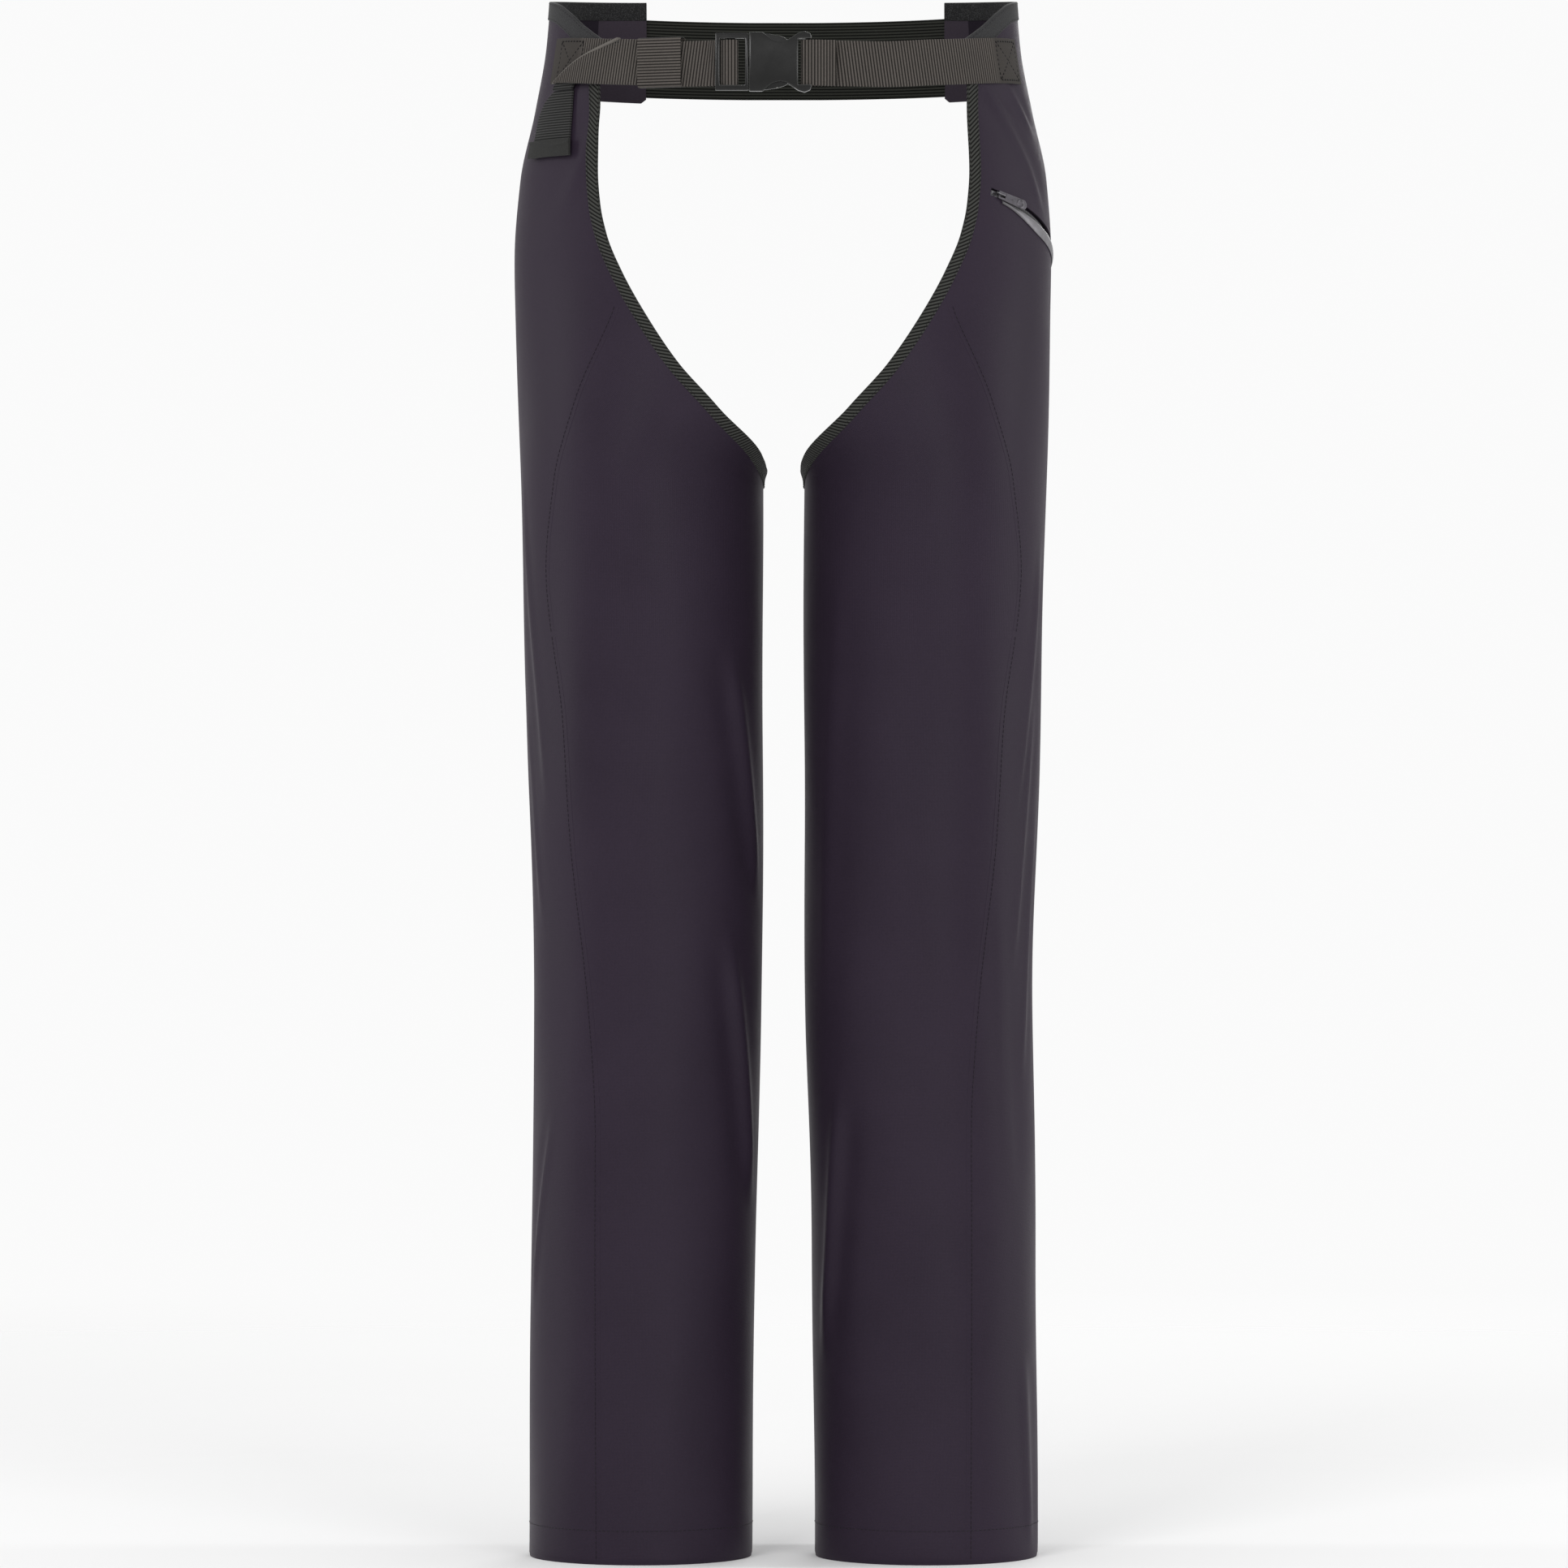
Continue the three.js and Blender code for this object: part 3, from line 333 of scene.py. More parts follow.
def resample(points, step):
    """The same line with evenly spaced points."""
    points = np.asarray(points, float)
    length = distance_along(points)
    places = np.linspace(0, length[-1], max(int(length[-1] / step), 2) + 1)
    return np.stack([np.interp(places, length, points[:, k]) for k in range(points.shape[1])], -1)


def unit(v):
    return v / np.maximum(np.linalg.norm(v, axis=-1, keepdims=True), 1e-9)


def leg_lines(side, path, widths, out, draped=True):
    """Rings round a path of (angle, z) points that lies on the leg: widths are measured across the path."""
    angle, z = path[:, 0], path[:, 1]
    point = plain_leg(angle, z, 0, side)
    tangent = unit(np.gradient(point, axis=0))
    normal = unit(plain_leg(angle, z, 1, side) - point)
    across = unit(np.cross(normal, tangent))
    moved = point[:, None] + across[:, None] * widths[None, :, None]
    return leg(angle_of(moved, side), moved[..., 2], out, side, draped)


def path_on_leg(side, stations, step):
    """Evenly spaced (angle, z) points along a line given by (angle, z) stations."""
    stations = np.asarray(stations, float)
    spaced = resample(plain_leg(stations[:, 0], stations[:, 1], 0, side), step)
    return np.stack([angle_of(spaced, side), spaced[:, 2]], -1)


def unwrap(path):
    path[:, 0] = np.degrees(np.unwrap(np.radians(path[:, 0])))
    return path


def leg_tape(name, side, path, profile, materials, second=None, draped=True):
    """A tape that follows a path on the leg."""
    out = np.broadcast_to(profile[:, 1], (len(path), len(profile)))
    rings = leg_lines(side, path, profile[:, 0], out, draped)
    return loft(name, rings, materials, second=second)


def upright_band(name, low, high, profile, materials, rib=None, outward=1):
    """Webbing between a lower and an upper edge, with ribs of (pitch, depth) across it past its sewn end.

    The profile's first column runs from -1 to 1 across the band."""
    rise = unit(high - low)
    middle = (low + high) / 2
    along = unit(np.gradient(middle, axis=0))
    face = outward * unit(np.cross(rise, along))
    share = (profile[:, 0] + 1) / 2
    out = np.broadcast_to(profile[:, 1], (len(low), len(profile))).copy()
    length = distance_along(middle)
    if rib:
        pitch, depth = rib
        phase = 2 * np.pi * length[:, None] / pitch
        grow = smooth((length[:, None] - BARE) / 6)
        out -= np.sign(profile[:, 1])[None] * grow * depth * (0.5 - 0.5 * np.cos(phase))
    rings = low[:, None] + (high - low)[:, None] * share[None, :, None] + face[:, None] * out[..., None]
    return loft(name, rings, materials, along=length)


THREAD_RADIUS = 0.15


def stitches(name, points, normals, material, length=2.0, gap=1.2, radius=THREAD_RADIUS, lift=0.0):
    """Thread stitches along a line, one closed body each, lying on the surface with these normals."""
    spaced = resample(np.concatenate([points, normals], axis=1), (length + gap) / 2)
    verts, faces = [], []
    sides = 6
    for k in range(0, len(spaced) - 1, 2):
        start, end = spaced[k, :3], spaced[k + 1, :3]
        normal = unit(spaced[k, 3:])
        along = unit(end - start)
        across = np.cross(normal, along)
        base = len(verts)
        shares = (-0.28, 0.0, 0.5, 1.0, 1.28)
        sizes = (0.35, 0.85, 1.0, 0.85, 0.35)
        for share, size in zip(shares, sizes):
            middle = start + (end - start) * share + normal * (lift + (size - 1) * radius * 0.8)
            for s in range(sides):
                turn = 2 * math.pi * s / sides
                spoke = 1.25 * math.cos(turn) * across + math.sin(turn) * normal
                verts.append(middle + size * radius * spoke)
        for r in range(len(shares) - 1):
            for s in range(sides):
                t = (s + 1) % sides
                row, above = base + r * sides, base + (r + 1) * sides
                faces.append((row + s, row + t, above + t, above + s))
        faces.append(tuple(base + s for s in reversed(range(sides))))
        faces.append(tuple(base + (len(shares) - 1) * sides + s for s in range(sides)))
    corners = sum(len(face) for face in faces)
    return make_object(name, verts, faces, [np.zeros((corners, 2))], [material], sharp=80)


def leg_stitches(name, side, path):
    """Sewing thread along a path of (angle, z) points on the shell."""
    points, above = (leg(path[:, 0], path[:, 1], off, side) for off in (THREAD_RADIUS, THREAD_RADIUS + 1))
    return stitches(name, points, unit(above - points), thread)


# ---------------------------------------------------------------- materials


class Look:
    """A small helper that builds one node material."""

    def __init__(self, name):
        self.material = bpy.data.materials.new(name)
        self.material.use_nodes = True
        self.tree = self.material.node_tree
        self.surface = self.tree.nodes["Principled BSDF"]
        coordinates = self.tree.nodes.new("ShaderNodeTexCoord")
        self.object_place = coordinates.outputs["Object"]
        split = self.add("ShaderNodeSeparateXYZ", Vector=coordinates.outputs["UV"])
        self.u, self.v = split.outputs["X"], split.outputs["Y"]
        self.height = self.add("ShaderNodeSeparateXYZ", Vector=self.object_place).outputs["Z"]

    def add(self, kind, settings=None, **inputs):
        made = self.tree.nodes.new(kind)
        for key, value in (settings or {}).items():
            setattr(made, key, value)
        for key, value in inputs.items():
            self.put(made.inputs[key], value)
        return made

    def put(self, socket, value):
        if isinstance(value, bpy.types.NodeSocket):
            self.tree.links.new(value, socket)
        else:
            socket.default_value = value

    def math(self, operation, first, second=0.0):
        made = self.tree.nodes.new("ShaderNodeMath")
        made.operation = operation
        self.put(made.inputs[0], first)
        self.put(made.inputs[1], second)
        return made.outputs[0]

    def ripple(self, place, pitch):
        """1 at every whole pitch (metres) and 0 half-way between."""
        wave = self.math("COSINE", self.math("MULTIPLY", place, 2 * math.pi / pitch))
        return self.math("ADD", self.math("MULTIPLY", wave, 0.5), 0.5)

    def noise(self, scale, detail=4, roughness=0.6):
        values = {"Scale": scale, "Detail": detail, "Roughness": roughness}
        return self.add("ShaderNodeTexNoise", Vector=self.object_place, **values).outputs["Fac"]

    def spread(self, value, low, high, to_low=0.0, to_high=1.0):
        made = self.tree.nodes.new("ShaderNodeMapRange")
        for socket, number in zip(list(made.inputs)[:5], (value, low, high, to_low, to_high)):
            self.put(socket, number)
        return made.outputs[0]

    def mix(self, share, first, second):
        made = self.tree.nodes.new("ShaderNodeMix")
        made.data_type = "RGBA"
        self.put(made.inputs[0], share)
        self.put(made.inputs[6], first)
        self.put(made.inputs[7], second)
        return made.outputs[2]

    def bump(self, height, depth, strength=1.0, after=None):
        made = self.add("ShaderNodeBump", Height=height, Distance=depth, Strength=strength)
        if after is not None:
            self.put(made.inputs["Normal"], after)
        return made.outputs["Normal"]

    def finish(self, colour, roughness, normal=None, **values):
        self.put(self.surface.inputs["Base Color"], colour)
        self.put(self.surface.inputs["Roughness"], roughness)
        if normal is not None:
            self.put(self.surface.inputs["Normal"], normal)
        for key, value in values.items():
            self.put(self.surface.inputs[key.replace("_", " ")], value)
        return self.material


def shade(colour, factor):
    return (*(c * factor for c in colour), 1)


def cloth(name, colour, pitch=0.0007, depth=0.00006, sheen=0.1, tint=(1, 1, 1), rough=0.8, vary=0.14,
          twill=0.0, ribs=None, fleck=0.0, gloss=0.05):
    """Woven or knitted cloth: a weave at `pitch` with painted shade in the gaps between its threads, uneven
    dye, and the soft gleam of raised fibres.

    `twill` is the pitch of diagonal ribs, with painted shade in their grooves; ribs = ("u" or "z", pitch,
    start) paints shade into the valleys of ribs along the piece or up it; `fleck` mixes in pale fibres."""
    look = Look(name)
    weave = look.math("MULTIPLY", look.ripple(look.u, pitch), look.ripple(look.v, pitch))
    broad = look.noise(9, 5)
    fine = look.noise(900, 2)
    tone = look.math("ADD", look.math("MULTIPLY", broad, 0.6), look.math("MULTIPLY", fine, 0.4))
    share = look.spread(tone, 0.32, 0.68)
    base = look.mix(share, shade(colour, 1 - vary), shade(colour, 1 + vary))
    if fleck:
        pale = look.spread(look.noise(1500, 1), 0.5, 0.66, 0.0, fleck)
        base = look.mix(pale, base, shade(colour, 6))
    # painted shade: the weave's gaps, the twill's grooves and the ribs' valleys are darkened in the colour
    painted_groove_shade = look.spread(weave, 0.0, 1.0, 0.82, 1.0)
    normal = look.bump(fine, 0.00012, 0.3)
    normal = look.bump(weave, depth, 0.7, after=normal)
    if twill:
        raised = look.ripple(look.math("ADD", look.u, look.v), twill)
        painted_groove_shade = look.math("MULTIPLY", painted_groove_shade, look.spread(raised, 0.1, 0.8, 0.12, 1.1))
        normal = look.bump(raised, 0.0003, 0.8, after=normal)
    if ribs:
        way, rib_pitch, start = ribs
        place_along = look.math("SUBTRACT", look.u if way == "u" else look.height, start)
        top = look.ripple(place_along, rib_pitch)
        if way == "u":
            ribbed = look.spread(look.u, BARE * MM, BARE * MM + 0.006)
            base = look.mix(ribbed, shade(colour, 0.45), base)
            top = look.math("MAXIMUM", top, look.math("SUBTRACT", 1.0, ribbed))
        painted_groove_shade = look.math("MULTIPLY", painted_groove_shade, look.spread(top, 0.0, 0.8, 0.12, 1.1))
    groove_shaded_colour = look.mix(painted_groove_shade, (0, 0, 0, 1), base)
    roughness = look.spread(broad, 0.3, 0.7, rough - 0.06, rough + 0.08)
    return look.finish(
        groove_shaded_colour, roughness, normal,
        Sheen_Weight=sheen, Sheen_Roughness=0.4, Sheen_Tint=(*tint, 1), Specular_IOR_Level=gloss,
    )


def plastic(name, colour, rough=0.22, gloss=0.5):
    """Moulded plastic with a faint grain, handling marks, and a painted highlight along its sharp edges."""
    look = Look(name)
    grain = look.noise(1500, 2)
    marks = look.noise(60, 6, 0.7)
    base = look.mix(look.spread(marks, 0.4, 0.7), shade(colour, 0.9), shade(colour, 1.2))
    # painted highlight: sharp convex edges are lightened many times in the colour
    edge = look.spread(look.add("ShaderNodeNewGeometry").outputs["Pointiness"], 0.52, 0.6)
    base = look.mix(edge, base, shade(colour, 24))
    roughness = look.spread(marks, 0.3, 0.75, rough, rough + 0.07)
    normal = look.bump(grain, 0.00003, 0.3)
    return look.finish(base, roughness, normal, Specular_IOR_Level=gloss)


def metal(name, colour, rough=0.3):
    look = Look(name)
    marks = look.noise(160, 6, 0.7)
    base = look.mix(look.spread(marks, 0.35, 0.7), shade(colour, 0.8), shade(colour, 1.15))
    normal = look.bump(marks, 0.00004, 0.3)
    return look.finish(base, look.spread(marks, 0.3, 0.7, rough - 0.06, rough + 0.14), normal, Metallic=0.85)


def reflective(name):
    """Silver reflective tape: fine glass beads that flash towards the light."""
    look = Look(name)
    beads = look.noise(2600, 2)
    wear = look.noise(120, 6, 0.7)
    base = look.mix(look.spread(wear, 0.35, 0.7), (0.12, 0.115, 0.124, 1), (0.20, 0.194, 0.208, 1))
    # painted shade: the tape's first 30 mm are darker, fading into its own colour
    painted_light_ramp = look.spread(look.u, 0.0, 0.03)
    base = look.mix(painted_light_ramp, (0.085, 0.082, 0.087, 1), base)
    normal = look.bump(beads, 0.00005, 0.5)
    return look.finish(base, look.spread(wear, 0.3, 0.7, 0.34, 0.5), normal, Metallic=0.45)


STRAP_RIB_PITCH = 2.0
BARE = 27
KEEPER_RIB_PITCH = 1.9
TAIL_RIB_PITCH = 1.7
BAND_LOW, BAND_HIGH, BAND_RIBS = 962, 1013.5, 26
BAND_RIB_PITCH = (BAND_HIGH - BAND_LOW) / BAND_RIBS
PURPLE = (0.95, 0.78, 0.95)
WEBBING = (0.085, 0.076, 0.069)
shell_cloth = cloth("shell_cloth", (0.023, 0.016, 0.027), sheen=0.03, tint=PURPLE, rough=0.45, gloss=0.08)
wing_lining = cloth("wing_inner_face", (0.034, 0.027, 0.036), sheen=0.05, tint=PURPLE)
shell_back = cloth("shell_inner_face", (0.012, 0.009, 0.014), sheen=0.05, tint=PURPLE)
binding_tape = cloth("binding_tape", (0.046, 0.047, 0.043), sheen=0.08, twill=0.003)
waist_tape = cloth("waist_tape", (0.030, 0.030, 0.031), pitch=0.0006, vary=0.1, fleck=0.1)
waist_tape_back = cloth("waist_tape_inner_face", (0.013, 0.013, 0.0135), pitch=0.0011, vary=0.3, fleck=0.45)
pad_cloth = cloth("pad_fibre", (0.50, 0.46, 0.38), pitch=0.0016, depth=0.0003, sheen=0.3, rough=0.9)
lining_cloth = cloth("lining_cloth", (0.016, 0.015, 0.018), pitch=0.001, sheen=0.05, rough=0.85)
band_elastic = cloth("band_elastic", (0.026, 0.027, 0.023), ribs=("z", BAND_RIB_PITCH * MM, BAND_LOW * MM))
webbing_cloth = cloth("strap_webbing", WEBBING, vary=0.2, ribs=("u", STRAP_RIB_PITCH * MM, 0.0))
keeper_cloth = cloth("keeper_webbing", WEBBING, vary=0.2, ribs=("z", KEEPER_RIB_PITCH * MM, 0.0))
tail_cloth = cloth("tail_webbing", (0.040, 0.040, 0.039), vary=0.2, ribs=("z", TAIL_RIB_PITCH * MM, 0.0))
# painted highlight: the strap fold's rolled edge uses a lighter copy of the webbing colour
fold_highlight_cloth = cloth("fold_webbing_painted_highlight", (0.125, 0.115, 0.105), vary=0.2)
tail_hem_cloth = cloth("tail_hem_webbing", (0.026, 0.026, 0.025), vary=0.25)
thread = cloth("thread", (0.012, 0.010, 0.013), pitch=0.0004, rough=0.6)
webbing_thread = cloth("webbing_thread", (0.008, 0.007, 0.007), pitch=0.0004, rough=0.6)
buckle_plastic = plastic("buckle_plastic", (0.005, 0.005, 0.0048), 0.2, 0.32)
zip_cloth = cloth("zip_tape", (0.014, 0.010, 0.017), pitch=0.0008, sheen=0.05)
zip_plastic = plastic("zip_coil", (0.012, 0.012, 0.013), 0.35)
zip_metal = metal("zip_metal", (0.085, 0.080, 0.090))
slider_metal = metal("slider_metal", (0.14, 0.135, 0.145), 0.26)
reflective_tape = reflective("reflective_tape")


# ---------------------------------------------------------------- placing pieces

HIP_BEND = {"start": (0, 0, 0.835), "end": (0, 0, 0.700)}
KNEE_BEND = {"start": (0, 0, 0.530), "end": (0, 0, 0.330)}


def place(obj, body, slot, *nodes, onto=None, bend=None):
    """obj rides on a body, or, given `onto`, stays where it is; it stands for these CAD nodes, which are
    hidden.
    """
    if onto:
        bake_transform(obj)
    else:
        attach(obj, body)
    if nodes:
        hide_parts(*nodes)
    return obj


def on_hip(obj, side, slot, *nodes):
    return place(obj, "waist", slot, *nodes, onto=f"{side}_thigh", bend=HIP_BEND)


def on_knee(obj, side, slot, *nodes):
    return place(obj, f"{side}_thigh", slot, *nodes, onto=f"{side}_shin", bend=KNEE_BEND)


# ---------------------------------------------------------------- leg fabric

LEG_COLUMNS = 180
HEM_STITCH_Z = 22.0


def opening_grid():
    """Angles and heights of the upper leg's fabric: rows up from the split to the waist, columns across."""
    share = np.linspace(0, 1, LEG_COLUMNS + 1)
    rows = []
    for z in np.concatenate([np.linspace(SPLIT_Z, CROTCH_Z - 4, 24), np.linspace(CROTCH_Z, HIP_ROW_Z, 34)]):
        edge = 2.4 if z > CROTCH_Z else 0
        low = front_edge(np.float64(z))
        high = back_edge(np.float64(z))
        trim = degrees_for(edge, low, np.float64(z))
        rows.append((low + trim + (high - low - 2 * trim) * share, np.full(len(share), z)))
    for v in np.linspace(0, 1, 42)[1:]:
        angle = rows[-1][0]
        for _ in range(6):
            z = HIP_ROW_Z + (waist_edge(angle) - TOP_TRIM - HIP_ROW_Z) * v
            low, high = front_edge(z), back_edge(z)
            angle = low + 1 + (high - low - 2) * share
        rows.append((angle, z))
    return np.array([r[0] for r in rows]), np.array([r[1] for r in rows])


def build_leg_fabric(side_name, side):
    """The shell of one leg in two lengths, with the hem's facing. The left one is slit for the zip."""
    angle, z = opening_grid()
    faces = [shell_cloth, shell_back]
    upper = leg_shell(f"{side_name}_hip_and_thigh", side, angle, z, 0, -FABRIC, faces)
    if side > 0:
        cut_zip_slot(upper)
    on_hip(
        upper, side_name, "shell_fabric",
        f"{side_name}_hip_panel", f"{side_name}_hip_fold_panel",
        f"{side_name}_thigh_front_panel", f"{side_name}_thigh_back_panel",
    )
    turns = np.linspace(-180, 180, LEG_COLUMNS, endpoint=False)
    heights = np.concatenate([[0, 0.4, 1.2, 2.5], np.linspace(5, SPLIT_Z, 120)])
    angle, z = np.meshgrid(turns, heights)
    roll = -0.6 * (1 - smooth(z / 3))
    inner = -FABRIC - roll * 0.4
    lower = leg_shell(f"{side_name}_knee_and_shin", side, angle, z, roll, inner, faces, loop=True)
    on_knee(
        lower, side_name, "shell_fabric",
        f"{side_name}_knee_fold_panel", f"{side_name}_shin_front_panel", f"{side_name}_shin_back_panel",
    )
    angle, z = np.meshgrid(turns, np.linspace(0.8, HEM_STITCH_Z + 2, 12))
    facing = leg_shell(f"{side_name}_hem_facing", side, angle, z, -1.7, -2.5, [lining_cloth], loop=True)
    place(facing, f"{side_name}_shin", "lining_fabric", f"{side_name}_hem_facing")


PAD_FROM, PAD_TO, PAD_LOW, PAD_HIGH = -165, -12, 60, 692
LINING_FROM, LINING_TO = -172, -5
PAD_COLUMNS, PAD_ROWS = 60, 168
PAD_DEPTH = 6.2
PAD_CAP = 2.6
PUFF_PRESSURE, PUFF_STEPS = 4.0, 18
LINING_DEPTHS = (9.9, 10.6)
QUILT_COUNT, QUILT_HEIGHT = 6, 48


def quilt(angle, z):
    """Height of the pad's quilting, 0 on the sewn lines and 1 between them."""
    across = np.abs(np.sin(np.radians(angle) * QUILT_COUNT))
    up = np.abs(np.sin(z * np.pi / QUILT_HEIGHT))
    return np.sqrt(np.clip(across * up, 0, 1))


def puff(obj, sewn, cap):
    """Fills a sewn bag with a cloth simulation. No point moves further than `cap` millimetres."""
    start = points_of(obj)
    group = obj.vertex_groups.new(name="sewn")
    group.add(np.flatnonzero(sewn).tolist(), 1.0, "REPLACE")
    modifier = obj.modifiers.new("puff", "CLOTH")
    modifier.point_cache.frame_start = 1
    modifier.point_cache.frame_end = PUFF_STEPS
    modifier.collision_settings.use_collision = False
    settings = modifier.settings
    settings.quality = 5
    settings.mass = 0.2
    settings.tension_stiffness = settings.compression_stiffness = 10
    settings.bending_stiffness = 0.4
    settings.vertex_group_mass = group.name
    settings.use_pressure = True
    settings.uniform_pressure_force = PUFF_PRESSURE
    settings.effector_weights.gravity = 0
    for step in range(1, PUFF_STEPS + 1):
        bpy.context.scene.frame_set(step)
    settled = obj.evaluated_get(bpy.context.evaluated_depsgraph_get())
    flat = np.empty(len(start) * 3)
    settled.data.vertices.foreach_get("co", flat)
    move = flat.reshape(-1, 3) / MM - start
    reach = np.linalg.norm(move, axis=1, keepdims=True)
    obj.modifiers.clear()
    obj.vertex_groups.clear()
    bpy.context.scene.frame_set(1)
    move_points(obj, start + move * cap * np.tanh(reach / cap) / np.maximum(reach, 1e-6))


def build_protection(side_name, side):
    """The quilted pad between shell and lining, and the lining behind it, down the front of each leg."""
    grid = np.meshgrid(np.linspace(PAD_FROM, PAD_TO, PAD_COLUMNS), np.linspace(PAD_LOW, PAD_HIGH, PAD_ROWS))
    angle, z = grid
    border = np.minimum.reduce([angle - PAD_FROM, PAD_TO - angle, (z - PAD_LOW) / 2, (PAD_HIGH - z) / 2])
    filled = smooth(border / 6) * (0.3 + 0.7 * quilt(angle, z))
    full = 0.5
    outside, inside = full * filled - PAD_DEPTH, -full * filled - PAD_DEPTH - 0.5
    pad = leg_shell(f"{side_name}_pad", side, angle, z, outside, inside, [pad_cloth])
    sewn = ((filled < 0.5) | (border < 3)).T
    puff(pad, np.concatenate([sewn, sewn[:, ::-1]], axis=1).ravel(), PAD_CAP)
    angle, z = np.meshgrid(np.linspace(LINING_FROM, LINING_TO, PAD_COLUMNS), grid[1][:, 0])
    ease = 0.4 * quilt(angle + 15, z)
    outside, inside = (-depth - ease for depth in LINING_DEPTHS)
    lining = leg_shell(f"{side_name}_lining", side, angle, z, outside, inside, [lining_cloth])
    for obj, name, slot in ((pad, "pad", "pad_fibre"), (lining, "lining", "lining_fabric")):
        on_knee(obj, side_name, slot, *(f"{side_name}_{part}_{name}" for part in ("thigh", "knee", "shin")))


SEAM_TOP = 812


def seam_path(low, high, shift=0.0):
    heights = np.arange(high, low, -4.0)
    angles = seam_angle(heights)
    return np.stack([angles + degrees_for(shift, angles, heights), heights], -1)


def build_seams(side_name, side):
    """The raised seam down the front of each leg with its stitches, and the hem's stitching."""
    cord = rounded_profile(-0.7, 0.7, -0.5, 0.07, 0.06, steps=2, across=3)
    for part, low, high, put in (("thigh", SPLIT_Z, SEAM_TOP, on_hip), ("shin", 1, SPLIT_Z, on_knee)):
        path = seam_path(low, high)
        put(leg_tape(f"{side_name}_{part}_seam", side, path, cord, [shell_cloth]), side_name, "shell_fabric")
        line = seam_path(low, high, 3.0)
        row = leg_stitches(f"{side_name}_{part}_seam_stitches", side, line)
        put(row, side_name, "shell_fabric")
    turns = np.arange(-180, 180, 1.5)
    hem = np.stack([turns, np.full(len(turns), HEM_STITCH_Z)], -1)
    row = leg_stitches(f"{side_name}_hem_stitches", side, hem)
    place(row, f"{side_name}_shin", "shell_fabric")


# ---------------------------------------------------------------- bound edges and wings


def opening_path(side):
    """(angle, z) down the front edge, round the crotch and up the back edge to the wing."""
    down = np.arange(CORNER_Z - TOP_BINDING, 716, -3.0)
    up = np.arange(716, WING_LOW - 2, 3.0)
    tip = [(-178, 709), (-180, 705.5), (-182, 709)]
    front = np.stack([-angle_at_x(front_edge_x(down), down), down], -1)
    back = np.stack([angle_at_x(back_edge_x(up), up) - 360, up], -1)
    stations = np.concatenate([front, tip, back])
    return unwrap(path_on_leg(side, stations, 2.2))


STITCH_INSET = 1.2
TAPE_FACE = 0.75


def tape_line(side, path, across):
    """The points and normals of a line on a tape's face."""
    offsets = (TAPE_FACE, TAPE_FACE - 1)
    line, under = (leg_lines(side, path, np.array([across * side]), off)[:, 0] for off in offsets)
    return line, unit(line - under)


def build_bindings(side_name, side):
    """Tape round the front and back openings and along the waist, each with its rows of stitches."""
    path = opening_path(side)
    lowest = int(np.argmin(path[:, 1]))
    tape = rounded_profile(0.7, BINDING_WIDTH, -FABRIC - 0.7, 0.7, 0.6, steps=3, across=5)
    tape[:, 0] *= side
    for name, part in (("front_binding", path[: lowest + 1]), ("back_binding", path[lowest:])):
        obj = leg_tape(f"{side_name}_{name}", side, part, tape, [binding_tape])
        on_hip(obj, side_name, "binding_tape", f"{side_name}_{name}")
        line, normal = tape_line(side, part, BINDING_WIDTH - STITCH_INSET)
        on_hip(stitches(f"{side_name}_{name}_stitches", line, normal, thread), side_name, "binding_tape")

    start = float(front_edge(np.float64(CORNER_Z)))
    end = float(angle_at_x(WING_X[side], 1020.0))
    angles = np.linspace(start, end, 140)
    edge = np.stack([angles, waist_edge(angles) - TOP_BINDING / 2], -1)
    half = TOP_BINDING / 2
    waist_profile = rounded_profile(-half, half, -FABRIC - 0.7, 0.7, 0.6, steps=3, across=4)
    inner_side = range(len(waist_profile) // 2, len(waist_profile))
    obj = leg_tape(
        f"{side_name}_waist_binding",
        side,
        edge,
        waist_profile,
        [waist_tape, waist_tape_back],
        second=inner_side,
    )
    place(obj, "waist", "waist_tape", f"{side_name}_waist_binding")
    for at in (STITCH_INSET - half, half - STITCH_INSET):
        line, normal = tape_line(side, edge, at)
        row = stitches(f"{side_name}_waist_stitches_{'low' if at < 0 else 'high'}", line, normal, thread)
        place(row, "waist", "waist_tape")


def build_wing(side_name, side):
    """The part of the waist that reaches across the back, behind the elastic."""
    share = np.linspace(0, 1, 26)
    rows = []
    for v in np.linspace(0, 1, 26):
        angle = np.full(len(share), 45.0)
        for _ in range(5):
            z = WING_LOW + (waist_edge(angle) - TOP_TRIM - WING_LOW) * v
            inside = back_edge(z) - degrees_for(2, back_edge(z), z)
            end = angle_at_x(WING_X[side], z) - 1.5 * np.clip(1 - (z - WING_LOW) / 2.5, 0, 1)
            angle = inside + (end - inside) * share
        rows.append((angle, z))
    angle, z = np.array([r[0] for r in rows]), np.array([r[1] for r in rows])
    swell = 0.5 * np.sin(z / 9) * np.sin(np.radians(angle * 9))
    faces = [shell_cloth, wing_lining]
    obj = leg_shell(f"{side_name}_back_wing", side, angle, z, swell, swell - FABRIC, faces)
    place(obj, "waist", "shell_fabric", f"{side_name}_back_wing")


